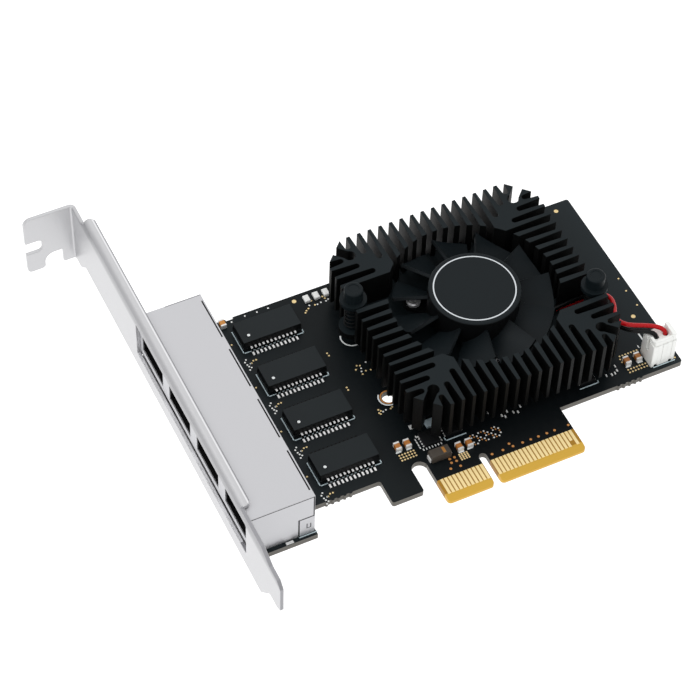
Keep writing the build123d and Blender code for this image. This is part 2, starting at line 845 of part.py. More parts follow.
def pin_ear(off_x, off_y):
    """Ear of the cooler's base that a push pin goes through."""
    z1 = cooler_bottom_z + ear_thickness
    x = cooler_x + off_x
    y = cooler_y + off_y
    inner = cooler_x + base_half * (1 if off_x > 0 else -1) * 0.9
    ear = rod(x, y, cooler_bottom_z, z1, ear_radius)
    ear += slab(min(x, inner), max(x, inner), y - ear_radius, y + ear_radius, cooler_bottom_z, z1)
    return ear - rod(x, y, cooler_bottom_z - 1, z1 + 1, pin_radius + pin_hole_gap)


def fan_screw_places():
    """Places of the fan's screws on the cooler floor."""
    turns = [radians(fan_screw_angle + 360 / fan_screw_count * i) for i in range(fan_screw_count)]
    return [(cooler_x + fan_screw_circle * cos(a), cooler_y + fan_screw_circle * sin(a)) for a in turns]


def make_heatsink():
    """Cast cooler: fins on four sides of a round fan well, on a smaller base with pin ears."""
    fins = Pos(cooler_x, cooler_y, cooler_bottom_z) * extrude(cooler_face(), cooler_high - cooler_low)
    base = slab(cooler_x - base_half, cooler_x + base_half, cooler_y - base_half, cooler_y + base_half,
                cooler_bottom_z, cooler_floor_z)
    base = chamfer(base.edges().filter_by(Axis.Z), corner_cut)
    body = fins + base
    body += pin_ear(-pin_off_x, pin_off_y)
    body += pin_ear(pin_off_x, -pin_off_y)
    for x, y in fan_screw_places():
        body -= rod(x, y, cooler_bottom_z - 1, cooler_floor_z + 1, fan_screw_radius + 0.02)
    return body


def make_push_pin(x, y):
    """Push pin: stepped cap, collar, shank and a split barb that snaps under the board."""
    pin = rod(x, y, board_bottom - 0.15, board_top + pin_collar_low, pin_radius)
    pin += rod(x, y, board_top + pin_collar_low, board_top + pin_collar_high, pin_collar_radius)
    cap = rod(x, y, board_top + pin_collar_high, board_top + pin_cap_high, pin_cap_radius)
    pin += fillet(cap.edges().filter_by(GeomType.CIRCLE).sort_by(Axis.Z)[-1], 0.45)
    dimple_low = board_top + pin_cap_high - pin_dimple_depth
    pin -= rod(x, y, dimple_low, dimple_low + 1, pin_dimple_radius)
    z1 = board_bottom - 0.15
    z0 = z1 - pin_barb_length
    barb = Pos(x, y, (z0 + z1) / 2) * Cone(pin_radius * 0.55, pin_barb_radius, z1 - z0)
    pin += barb
    return pin - slab(x - pin_split / 2, x + pin_split / 2, y - 3, y + 3, z0 - 1, board_top - 0.4)


def make_springs():
    """Coil springs between the cooler's ears and the push pin collars."""
    low = cooler_bottom_z + ear_thickness + spring_wire / 2 + 0.03
    high = board_top + pin_collar_low - spring_wire / 2 - 0.03
    coils = []
    for x, y in pin_places:
        path = Helix((high - low) / spring_turns, high - low, spring_radius)
        start = path @ 0
        section = Plane(origin=start, z_dir=path % 0) * RegularPolygon(spring_wire / 2, 6)
        coils.append(Pos(x, y, low) * sweep(section, path=path, is_frenet=True))
    return group(coils)


def wire_notch():
    """Cut in the fan's base and circuit board where the two wires come in."""
    z0 = cooler_floor_z - 1
    z1 = fan_plate_top_z + fan_circuit_thickness + 1
    notch = slab(wire_notch_start, fan_plate_radius + 1, -wire_notch_width / 2, wire_notch_width / 2, z0, z1)
    return Pos(cooler_x, cooler_y, 0) * Rot(0, 0, wire_notch_angle) * notch


def make_fan_base():
    """Fan base plate with three screw arms and the bearing sleeve."""
    z0 = cooler_floor_z
    z1 = fan_plate_top_z
    base = rod(cooler_x, cooler_y, z0, z1, fan_plate_radius)
    for i, (x, y) in enumerate(fan_screw_places()):
        turn = fan_screw_angle + 360 / fan_screw_count * i
        arm = Pos(fan_screw_circle / 2, 0, (z0 + z1) / 2) * Box(fan_screw_circle, fan_arm_width, z1 - z0)
        base += Pos(cooler_x, cooler_y, 0) * Rot(0, 0, turn) * arm
        base += rod(x, y, z0, z1, fan_arm_width / 2)
    sleeve_top = board_top + bearing_high
    base += rod(cooler_x, cooler_y, z1, sleeve_top, sleeve_radius)
    base -= rod(cooler_x, cooler_y, board_top + bearing_low, sleeve_top + 1, bearing_radius)
    base -= rod(cooler_x, cooler_y, z0 + fan_pan, board_top + bearing_low, bearing_radius - bearing_ledge)
    for x, y in fan_screw_places():
        base -= rod(x, y, z0 - 1, z1 + 1, fan_screw_radius + 0.1)
    return base - wire_notch()


def make_fan_screws():
    """Small screws that hold the fan base to the cooler floor."""
    screws = []
    for x, y in fan_screw_places():
        head = crossed_head(x, y, fan_plate_top_z, fan_screw_head_height, fan_screw_head, 0.45, 1)
        screws.append(head + rod(x, y, cooler_bottom_z + 0.4, fan_plate_top_z, fan_screw_radius))
    return group(screws)


def make_fan_circuit():
    """Ring shaped circuit board of the fan, round the bearing sleeve."""
    z0 = fan_plate_top_z
    z1 = z0 + fan_circuit_thickness
    ring = rod(cooler_x, cooler_y, z0, z1, fan_plate_radius - fan_circuit_rim)
    return ring - rod(cooler_x, cooler_y, z0 - 1, z1 + 1, sleeve_radius) - wire_notch()


def pole_angles():
    """Directions of the stator poles, in degrees."""
    return [45 + 360 / stator_poles * i for i in range(stator_poles)]


def make_stator():
    """Iron stator: four poles with wide faces round the bearing sleeve."""
    height = stator_high - stator_low
    core = Circle(sleeve_radius + 0.9)
    ring = Circle(stator_radius) - Circle(stator_radius - pole_face)
    for turn in pole_angles():
        core += Rot(0, 0, turn) * Pos(stator_radius / 2, 0) * Rectangle(stator_radius - 0.4, pole_width)
        half = radians(pole_face_angle / 2)
        far = stator_radius * 1.6
        wedge = make_face(Polyline((0, 0), (far * cos(half), -far * sin(half)),
                                   (far * cos(half), far * sin(half)),
                                   close=True))
        core += ring & (Rot(0, 0, turn) * wedge)
    core -= Circle(sleeve_radius)
    return Pos(cooler_x, cooler_y, board_top + stator_low) * extrude(core, height)


def make_coils():
    """Copper coils wound on the four stator poles."""
    half = pole_width / 2
    x0 = sleeve_radius + 1.1
    x1 = sqrt((stator_radius - pole_face) ** 2 - (half + coil_thickness) ** 2) - 0.1
    z0 = board_top + stator_low
    z1 = board_top + stator_high
    coils = []
    for turn in pole_angles():
        wide = half + coil_thickness
        outer = slab(x0, x1, -wide, wide, z0 - coil_thickness, z1 + coil_thickness)
        outer = chamfer(outer.edges().filter_by(Axis.X), coil_thickness * 0.45)
        coil = outer - slab(x0 - 1, x1 + 1, -half, half, z0, z1)
        coils.append(Pos(cooler_x, cooler_y, 0) * Rot(0, 0, turn) * coil)
    return group(coils)


def make_bearing():
    """Sintered sleeve bearing."""
    z0 = board_top + bearing_low
    z1 = board_top + bearing_high
    return rod(cooler_x, cooler_y, z0, z1, bearing_radius) - rod(cooler_x, cooler_y, z0 - 1, z1 + 1,
                                                                 shaft_radius + bearing_gap)


def hub_inside_z():
    """Underside of the hub's top wall."""
    return board_top + hub_high - hub_wall


def make_shaft():
    """Ground shaft, fixed in the yoke and running in the sleeve bearing."""
    low = cooler_floor_z + 0.7
    shaft = rod(cooler_x, cooler_y, low, hub_inside_z(), shaft_radius)
    groove_z = board_top + bearing_low - 0.45
    groove = rod(cooler_x, cooler_y, groove_z, groove_z + 0.25, shaft_radius + 0.2)
    return shaft - (groove - rod(cooler_x, cooler_y, groove_z - 1, groove_z + 1, shaft_radius - 0.2))


def make_shaft_clip():
    """Split ring in the shaft's groove, under the bearing."""
    z0 = board_top + bearing_low - 0.45
    ring = rod(cooler_x, cooler_y, z0, z0 + 0.25, shaft_radius + 0.4)
    ring -= rod(cooler_x, cooler_y, z0 - 1, z0 + 1, shaft_radius - 0.2)
    return ring - slab(cooler_x, cooler_x + 2, cooler_y - 0.4, cooler_y + 0.4, z0 - 1, z0 + 1)


def make_yoke():
    """Deep drawn steel cup inside the hub, which carries the shaft and the magnet."""
    z1 = hub_inside_z()
    z0 = board_top + hub_low + 0.3
    cup = rod(cooler_x, cooler_y, z0, z1, yoke_radius)
    cup -= rod(cooler_x, cooler_y, z0 - 1, z1 - yoke_thickness, yoke_radius - yoke_thickness)
    return cup - rod(cooler_x, cooler_y, z1 - 2, z1 + 1, shaft_radius)


def make_magnet():
    """Ring magnet inside the yoke."""
    z0 = board_top + (stator_low + stator_high) / 2 - magnet_height / 2
    ring = rod(cooler_x, cooler_y, z0, z0 + magnet_height, magnet_outer)
    return ring - rod(cooler_x, cooler_y, z0 - 1, z0 + magnet_height + 1, magnet_outer - magnet_thickness)


def blade_section(radius, low, high, bow):
    """Cross section of a blade, square to the radius: a bowed strip from its high to its low edge."""
    half = radius * tan(radians(blade_turn / 2))
    slope = atan2(high - low, 2 * half)
    nx = -sin(slope) * blade_sheet / 2
    nz = cos(slope) * blade_sheet / 2
    ends = [(-half, low), (half, high)]
    middle = (bow * sin(slope), (low + high) / 2 - bow * cos(slope))
    upper = [(x + nx, z + nz) for x, z in (ends[0], middle, ends[1])]
    lower = [(x - nx, z - nz) for x, z in (ends[0], middle, ends[1])]
    lines = [ThreePointArc(*upper), Line(upper[2], lower[2]), ThreePointArc(*lower), Line(lower[0], upper[0])]
    plane = Plane(origin=(radius, 0, 0), x_dir=(0, 1, 0), z_dir=(1, 0, 0))
    return plane * make_face(lines)


def make_impeller():
    """Moulded impeller: a cup shaped hub with eleven pitched, bowed blades."""
    z0 = board_top + hub_low
    z1 = board_top + hub_high
    hub = rod(0, 0, z0, z1, hub_radius)
    hub = fillet(hub.edges().filter_by(GeomType.CIRCLE).sort_by(Axis.Z)[-1], hub_round)
    hub -= rod(0, 0, z0 - 1, z1 - hub_wall, yoke_radius)
    groove = rod(0, 0, z1 - ring_depth, z1 + 1, ring_radius)
    hub -= groove - rod(0, 0, z1 - 1, z1 + 2, ring_radius - ring_width)
    low = board_top + blade_low + blade_sheet / 2
    high = board_top + blade_high - blade_sheet / 2
    root = hub_radius - hub_wall
    blade = loft([blade_section(root, low - 0.1, high, blade_bow * 0.5),
                  blade_section(blade_tip_radius + 0.6, low + 0.4, high - 0.3, blade_bow)], ruled=True)
    blade &= rod(0, 0, z0 - 5, z1 + 5, blade_tip_radius) - rod(0, 0, z0 - 6, z1 + 6, hub_radius - 0.4)
    for i in range(blade_count):
        hub += Rot(0, 0, blade_first_angle - blade_turn / 2 + 360 / blade_count * i) * blade
    return Pos(cooler_x, cooler_y, 0) * hub


def make_hub_ring():
    """Bright ring set into the top of the hub."""
    z1 = board_top + hub_high
    ring = rod(cooler_x, cooler_y, z1 - ring_depth, z1, ring_radius)
    return ring - rod(cooler_x, cooler_y, z1 - 1, z1 + 1, ring_radius - ring_width)


def make_controller():
    """Controller package substrate on the board."""
    half = chip_size / 2
    return slab(cooler_x - half, cooler_x + half, cooler_y - half, cooler_y + half, board_top,
                board_top + chip_thickness)


def make_controller_lid():
    """Metal lid of the controller."""
    half = lid_size / 2
    z0 = board_top + chip_thickness
    lid = slab(cooler_x - half, cooler_x + half, cooler_y - half, cooler_y + half, z0, z0 + lid_thickness)
    return chamfer(lid.edges().filter_by(Axis.Z), 0.6)


def make_thermal_pad():
    """Soft pad between the lid and the cooler."""
    half = thermal_pad_size / 2
    return slab(cooler_x - half, cooler_x + half, cooler_y - half, cooler_y + half,
                board_top + chip_thickness + lid_thickness, cooler_bottom_z)


def plug_seat_z():
    """Floor of the header, where the plug stands."""
    return board_top + header_floor


def make_header():
    """White header on the board: a box open at the top, with two slots in its front wall."""
    x0 = header_x - header_length / 2
    x1 = header_x + header_length / 2
    y0 = header_y - header_depth / 2
    y1 = header_y + header_depth / 2
    z1 = board_top + header_height
    body = slab(x0, x1, y0, y1, board_top, z1)
    body = fillet(body.edges().filter_by(Axis.Z), 0.3)
    wall = header_wall
    body -= slab(x0 + wall, x1 - wall, y0 + wall, y1 - wall, plug_seat_z(), z1 + 1)
    for x in header_pin_xs():
        half = header_slot / 2
        body -= slab(x - half, x + half, y0 - 1, y0 + wall, plug_seat_z(), z1 + 1)
        r = header_pin / 2
        body -= slab(x - r, x + r, header_y - r, header_y + r, board_top - 1, plug_seat_z() + 1)
    for x in (x0 + header_foot_inset, x1 - header_foot_inset):
        body -= slab(x - header_foot_width / 2, x + header_foot_width / 2, y0 - 1, y1 + 1, board_top - 1,
                     board_top + header_foot_height)
    half = header_side_slot / 2
    return body - slab(x0 - 1, x0 + wall, header_y - half, header_y + half, board_top + header_side_slot_low,
                       z1 + 1)


def make_header_pins():
    """Two square pins through the header's floor and the board."""
    r = header_pin / 2
    return group([slab(x - r, x + r, header_y - r, header_y + r, board_bottom - header_pin_low,
                       board_top + header_pin_high) for x in header_pin_xs()])


def make_plug():
    """White plug on the fan lead: a plate with a raised block and low walls, on a body with two ribs."""
    gap = header_wall + plug_gap
    x0 = header_x - header_length / 2 + gap
    x1 = header_x + header_length / 2 - gap
    y0 = header_y - header_depth / 2 + gap
    y1 = header_y + header_depth / 2 - gap
    body = slab(x0, x1, y0, y1, plug_seat_z(), plug_channel_z)
    x0 -= plug_flange
    x1 += plug_flange
    front = y0 - plug_flange
    plate = slab(x0, x1, front, y1 + plug_flange, plug_flange_z, plug_channel_z)
    body += fillet(plate.edges().filter_by(Axis.Z), 0.3)
    block = slab(x1 - plug_block, x1, front, y1 + plug_flange - plug_block_back, plug_flange_z,
                 board_top + plug_high)
    body += fillet(block.edges().filter_by(Axis.Z), 0.25)
    body += slab(x0 + 0.2, x1 - plug_block, front, front + plug_front_wall, plug_flange_z,
                 board_top + plug_wall_high)
    left = slab(x0, x0 + plug_front_wall, front + 0.3, front + plug_front_wall + plug_left_wall_length,
                plug_flange_z, board_top + plug_left_wall_high)
    body += fillet(left.edges().filter_by(Axis.X).group_by(Axis.Z)[-1].sort_by(Axis.Y)[-1], 0.5)
    for x in header_pin_xs():
        half = header_slot / 2 - plug_gap
        body += slab(x - half, x + half, y0 - header_wall, y0, plug_seat_z(), plug_flange_z)
        r = header_pin / 2 + 0.25
        body -= slab(x - r, x + r, header_y - r, header_y + r, plug_seat_z() - 1, wire_end_z)
        body -= rod(x, header_y, wire_end_z - 0.1, plug_channel_z + 1, plug_wire_hole)
    return body


def make_plug_contacts():
    """Crimp sockets in the plug, round the header pins."""
    z1 = wire_end_z
    outer = header_pin / 2 + 0.2
    inner = header_pin / 2 + 0.02
    sockets = []
    for x in header_pin_xs():
        box = slab(x - outer, x + outer, header_y - outer, header_y + outer, plug_seat_z() + 0.3, z1)
        sockets.append(box - slab(x - inner, x + inner, header_y - inner, header_y + inner, plug_seat_z(),
                                  board_top + header_pin_high + 0.05))
    return group(sockets)


# The lead's route, chosen by hand along what the photograph shows: out of the notch in the
# fan's base, along the cooler floor, past the push pin, beside the cooler and over into the plug.
red_route = [
    (20.68, 38.77, 6.72), (25.0, 36.3, 6.7), (30.6, 35.2, 6.75), (36.5, 34.95, 6.7),
    (41.6, 35.0, 6.75), (44.9, 34.4, 7.1), (46.1, 32.2, 7.9), (45.4, 29.2, 8.6), (44.0, 26.6, 8.9),
    (43.4, 24.3, 9.2), (44.4, 22.3, 9.5), (46.0, 21.2, 9.6), (47.7, 20.3, 9.7), (49.3, 19.3, 9.85),
    (50.7, 18.3, 9.9), (51.6, 17.5, 9.55), (52.1, 16.8, 8.95), (52.1, 16.8, wire_end_z)]
black_route = [
    (20.02, 37.72, 6.72), (24.4, 35.2, 7.0), (29.8, 34.3, 7.8), (36.0, 34.9, 7.9),
    (41.2, 34.95, 7.95), (43.9, 34.1, 8.25), (44.6, 31.8, 8.3), (44.3, 29.0, 8.0), (43.5, 26.6, 7.8),
    (43.2, 24.2, 7.9), (44.2, 22.0, 8.3), (45.5, 20.5, 8.7), (46.9, 19.4, 9.0), (48.2, 18.4, 9.3),
    (49.1, 17.6, 9.2), (49.6, 16.8, 8.95), (49.6, 16.8, wire_end_z)]


def route_radii(points):
    """Largest arc that each corner's two runs allow: 0.45 of the shorter run over tan of half the turn."""
    radii = []
    for before, corner, after in zip(points, points[1:], points[2:]):
        run_in = Vector(*corner) - Vector(*before)
        run_out = Vector(*after) - Vector(*corner)
        turn = radians(run_in.get_angle(run_out))
        radii.append(0.45 * min(run_in.length, run_out.length) / tan(turn / 2))
    return radii


def make_wire(points, name):
    """One insulated wire of the fan lead, as straight runs joined by tangent arcs."""
    radii = route_radii(points)
    print(name, "radii in diameters", [round(r / wire_diameter, 1) for r in radii])
    path = FilletPolyline(*points, radius=radii)
    section = Plane(origin=path @ 0, z_dir=path % 0) * Circle(wire_diameter / 2)
    wire = sweep(section, path=path)
    print(name, "length", round(path.length, 1), "volume", round(wire.volume, 2), "section times length",
          round(pi * (wire_diameter / 2) ** 2 * path.length, 2))
    return wire


def make_capacitors():
    """Brown ceramic bodies of the chip capacitors, between their end caps."""
    half = capacitor_length / 2 - capacitor_end
    wide = capacitor_width / 2
    return group([slab(x - wide, x + wide, y - half, y + half, board_top + 0.05,
                       board_top + capacitor_height) for x, y in all_capacitors])


def make_capacitor_ends():
    """Tinned end caps of the chip capacitors."""
    ends = []
    wide = capacitor_width / 2 + 0.04
    for x, y in all_capacitors:
        for side in (1, -1):
            y0, y1 = sorted((y + side * capacitor_length / 2,
                             y + side * (capacitor_length / 2 - capacitor_end)))
            ends.append(slab(x - wide, x + wide, y0, y1, board_top, board_top + capacitor_height + 0.04))
    return group(ends)


def make_beads():
    """Row of three white chip inductors by the far edge."""
    beads = []
    for x, y in bead_places:
        bead = slab(x - bead_width / 2, x + bead_width / 2, y - bead_length / 2, y + bead_length / 2,
                    board_top, board_top + bead_height)
        beads.append(chamfer(bead.edges().group_by(Axis.Z)[-1], 0.15))
    return group(beads)


def make_block_capacitor():
    """Moulded block capacitor beside the contact tab, with drafted sides."""
    face = Rectangle(block_length, block_width)
    mid = block_height * 0.5
    body = extrude(face, block_height - mid, taper=6) + extrude(face, -(mid - 0.1), taper=4)
    return Pos(block_x, block_y, board_top + mid) * body


def make_block_tabs():
    """Tinned terminals of the block capacitor, folded down both ends."""
    mid = board_top + block_height * 0.5
    tabs = []
    for side in (1, -1):
        end = block_x + side * block_length / 2
        x0, x1 = sorted((end, end + side * block_tab))
        tabs.append(slab(x0, x1, block_y - block_width * 0.32, block_y + block_width * 0.32, board_top, mid))
    return group(tabs)


def make_power_chips():
    """Three square regulator packages at the cooler's near edge."""
    half = power_chip_size / 2
    chips = []
    for x, y in power_chip_places:
        chip = slab(x - half, x + half, y - half, y + half, board_top, board_top + power_chip_height)
        chips.append(chamfer(chip.edges().group_by(Axis.Z)[-1], 0.1))
    return group(chips)


def make_power_pads():
    """Solder fillets along two sides of each regulator."""
    half = power_chip_size / 2
    pads = []
    for x, y in power_chip_places:
        for side in (1, -1):
            x0, x1 = sorted((x + side * half, x + side * (half + 0.3)))
            for i in range(power_pad_count):
                py = y + power_pad_pitch * (i - (power_pad_count - 1) / 2)
                pads.append(slab(x0, x1, py - 0.17, py + 0.17, board_top, board_top + 0.2))
    return group(pads)


def make_crystal():
    """Crystal in a metal can, under the open corner slot of the cooler."""
    can = slab(crystal_x - crystal_length / 2, crystal_x + crystal_length / 2, crystal_y - crystal_width / 2,
               crystal_y + crystal_width / 2, board_top, board_top + crystal_height)
    return fillet(can.edges().filter_by(Axis.Z), 0.3)


def build_all():
    """Every node of the card by its name."""
    nodes = {
        "board": make_board(),
        "contact_pads_component_side": make_pads(1),
        "contact_pads_solder_side": make_pads(-1),
        "bracket": make_bracket(),
        "bracket_screws": make_bracket_screws(),
        "jack_inserts": make_inserts(),
        "jack_housing": make_housing(),
        "jack_contacts": make_contacts(),
        "contact_carriers": make_carriers(),
        "jack_shield": make_shield(),
        "controller_substrate": make_controller(),
        "controller_lid": make_controller_lid(),
        "thermal_pad": make_thermal_pad(),
        "heatsink": make_heatsink(),
        "push_pin_left": make_push_pin(*pin_places[0]),
        "push_pin_right": make_push_pin(*pin_places[1]),
        "push_pin_springs": make_springs(),
        "fan_base": make_fan_base(),
        "fan_screws": make_fan_screws(),
        "fan_circuit_board": make_fan_circuit(),
        "stator_core": make_stator(),
        "stator_coils": make_coils(),
        "fan_bearing": make_bearing(),
        "fan_shaft": make_shaft(),
        "shaft_clip": make_shaft_clip(),
        "rotor_yoke": make_yoke(),
        "rotor_magnet": make_magnet(),
        "fan_impeller": make_impeller(),
        "hub_ring": make_hub_ring(),
        "lead_wire_red": make_wire(red_route, "red wire"),
        "lead_wire_black": make_wire(black_route, "black wire"),
        "lead_plug": make_plug(),
        "plug_sockets": make_plug_contacts(),
        "header_box": make_header(),
        "header_pins": make_header_pins(),
        "chip_capacitors": make_capacitors(),
        "capacitor_end_caps": make_capacitor_ends(),
        "chip_inductors": make_beads(),
        "block_capacitor": make_block_capacitor(),
        "block_capacitor_tabs": make_block_tabs(),
        "regulator_chips": make_power_chips(),
        "regulator_solder": make_power_pads(),
        "crystal": make_crystal(),
    }
    for i, y in enumerate(transformer_ys):
        nodes["line_transformer_" + str(i + 1)] = make_transformer(y)
        nodes["transformer_leads_" + str(i + 1)] = make_transformer_leads(y)
    return nodes


os.makedirs("parts", exist_ok=True)
for node_name, shape in build_all().items():
    export_step(shape, "parts/" + node_name + ".step")
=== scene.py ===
# %% [markdown]
# # Looks of a network adapter card
# The card is a black printed board with a folded steel bracket, four shielded jacks, four line
# transformers and a finned cooler with a small fan. The solids come from the CAD model as a fixed
# frame. This script gives them their finishes and adds what is too small or too soft for CAD: the
# fan's two wires, the printed lines, the vias, the solder and the smallest chips.

# %% Load the frame
import bpy
import math
import numpy as np
from mathutils import Matrix, Vector


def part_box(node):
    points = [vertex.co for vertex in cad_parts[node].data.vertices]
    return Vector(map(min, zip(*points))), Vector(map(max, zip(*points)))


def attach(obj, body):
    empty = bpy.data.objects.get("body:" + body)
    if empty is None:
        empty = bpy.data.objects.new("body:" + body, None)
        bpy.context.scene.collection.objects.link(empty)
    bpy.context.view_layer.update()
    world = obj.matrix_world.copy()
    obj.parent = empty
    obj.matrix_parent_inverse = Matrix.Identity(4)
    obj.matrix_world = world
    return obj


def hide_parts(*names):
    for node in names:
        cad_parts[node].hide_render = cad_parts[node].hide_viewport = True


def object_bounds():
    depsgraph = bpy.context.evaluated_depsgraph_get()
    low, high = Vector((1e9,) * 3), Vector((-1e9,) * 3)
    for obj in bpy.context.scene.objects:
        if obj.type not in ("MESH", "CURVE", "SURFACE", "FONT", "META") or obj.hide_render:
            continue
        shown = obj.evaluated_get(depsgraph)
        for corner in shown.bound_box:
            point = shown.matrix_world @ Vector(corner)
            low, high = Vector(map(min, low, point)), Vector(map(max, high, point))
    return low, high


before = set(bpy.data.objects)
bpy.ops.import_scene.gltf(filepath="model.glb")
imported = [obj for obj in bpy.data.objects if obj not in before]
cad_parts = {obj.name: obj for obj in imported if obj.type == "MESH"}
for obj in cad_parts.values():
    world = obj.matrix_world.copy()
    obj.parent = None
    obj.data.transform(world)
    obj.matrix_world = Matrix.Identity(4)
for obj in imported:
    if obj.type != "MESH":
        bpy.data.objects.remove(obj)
cad_box = [list(corner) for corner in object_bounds()]
MM = 0.001
board_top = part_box("board")[1].z
print("nodes", len(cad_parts), "board top at", round(board_top / MM, 3), "mm")

# %% [markdown]
# ## Camera
# The photograph was taken from above and to the left with a long lens, so the card's edges hardly
# converge. A camera is described best by where it looks and from which side: an azimuth, an
# elevation, a distance and a slight roll. The focal length is given in picture widths, because
# that number doesn't depend on the sensor.

# %% Camera
AZIMUTH = math.radians(27.584)
ELEVATION = math.radians(51.608)
ROLL = math.radians(2.353)
AIM = Vector((-14.08, 48.28, 0.785)) * MM
DISTANCE = 580.73 * MM
FOCAL_IN_WIDTHS = 2475.03 / 700

lens = bpy.data.cameras.new("camera")
lens.sensor_width = 36
lens.lens = lens.sensor_width * FOCAL_IN_WIDTHS
lens.clip_start = 0.01
lens.clip_end = 10
camera = bpy.data.objects.new("camera", lens)
bpy.context.scene.collection.objects.link(camera)
forward = Vector((math.sin(AZIMUTH) * math.cos(ELEVATION), math.cos(AZIMUTH) * math.cos(ELEVATION),
                  -math.sin(ELEVATION)))
level_view = forward.to_track_quat("-Z", "Y").to_matrix()
turned = level_view @ Matrix.Rotation(ROLL, 3, "Z")
camera.matrix_world = Matrix.Translation(AIM - forward * DISTANCE) @ turned.to_4x4()
bpy.context.scene.camera = camera
print("camera at", [round(c, 4) for c in camera.location])

# %% [markdown]
# ## Floor and light
# A product on white is lit by large soft boxes, so that metal shows wide even reflections and the
# shadows have no edge. The floor is a plain white sheet well below the card, which is held up for
# the picture, so that hardly any shadow shows. Each lamp is an area light about as wide as it is
# far away, so its light wraps round the fins. A bright world fills what the lamps leave dark.

# %% Floor, world and lamps
FLOOR_GAP = 420.0 * MM
FLOOR_HALF = 5.0
WORLD_STRENGTH = 0.86
# Azimuth and elevation in degrees, distance and width in metres, watts.
LAMPS = {"top_box": (-60, 70, 0.9, 0.9, 1.2),
         "left_box": (-80, 38, 0.9, 0.45, 1.0),
         "back_box": (20, 30, 1.0, 0.8, 0.6)}
floor_z = cad_box[0][2] - FLOOR_GAP


def mesh_object(name, points, faces):
    """New flat shaded mesh object from an array of points and a list of faces, at the origin."""
    mesh = bpy.data.meshes.new(name)
    mesh.from_pydata(np.asarray(points, float).tolist(), [], [list(f) for f in faces])
    made = bpy.data.objects.new(name, mesh)
    bpy.context.scene.collection.objects.link(made)
    return made


floor_corners = [(-FLOOR_HALF, -FLOOR_HALF, floor_z), (FLOOR_HALF, -FLOOR_HALF, floor_z),
                 (FLOOR_HALF, FLOOR_HALF, floor_z), (-FLOOR_HALF, FLOOR_HALF, floor_z)]
floor = mesh_object("floor", floor_corners, [(0, 1, 2, 3)])


def lamp(name, azimuth, elevation, distance, width, watts):
    """Square soft box that faces the card from an azimuth and elevation in degrees."""
    a = math.radians(azimuth)
    e = math.radians(elevation)
    away = Vector((math.sin(a) * math.cos(e), math.cos(a) * math.cos(e), math.sin(e)))
    light = bpy.data.lights.new(name, "AREA")
    light.size = width
    light.energy = watts
    made = bpy.data.objects.new(name, light)
    facing = away.to_track_quat("Z", "Y").to_matrix().to_4x4()
    made.matrix_world = Matrix.Translation(away * distance) @ facing
    bpy.context.scene.collection.objects.link(made)


for name, settings in LAMPS.items():
    lamp(name, *settings)
world = bpy.data.worlds.new("studio")
bpy.context.scene.world = world
world.use_nodes = True
backdrop = world.node_tree.nodes["Background"]
backdrop.inputs["Color"].default_value = (1, 1, 1, 1)
backdrop.inputs["Strength"].default_value = WORLD_STRENGTH
bpy.context.scene.view_settings.view_transform = "Standard"
print("lamps", len(LAMPS), "floor at", round(floor_z / MM, 1), "mm")

# %% [markdown]
# ## How a finish is made
# A finish here is one Principled shader with a little life in it: the colour, the roughness and
# the surface height each vary by a small amount, at the size of the real grain. All patterns read
# Object coordinates, which on these pieces are metres in the card's own frame, so a grain size in
# millimetres turns into a scale by dividing one metre by it. Colours are written as the hex values
# a designer would pick on screen and turned linear once.

# %% Colour, nodes and finishes


def linear(hex_value):
    """Linear colour of an sRGB hex value: c/12.92 below 0.04045, else ((c+0.055)/1.055)^2.4."""
    parts = np.array([int(hex_value[i:i + 2], 16) for i in (1, 3, 5)]) / 255
    parts = np.where(parts <= 0.04045, parts / 12.92, ((parts + 0.055) / 1.055) ** 2.4)
    return (*parts.tolist(), 1.0)


def add(tree, kind, links=None, **settings):
    """Add one node. Settings name its properties or inputs, links join inputs to other outputs."""
    made = tree.nodes.new(kind)
    for name, value in settings.items():
        if hasattr(made, name):
            setattr(made, name, value)
        else:
            made.inputs[name.replace("_", " ")].default_value = value
    for name, output in (links or {}).items():
        tree.links.new(output, made.inputs[name])
    return made


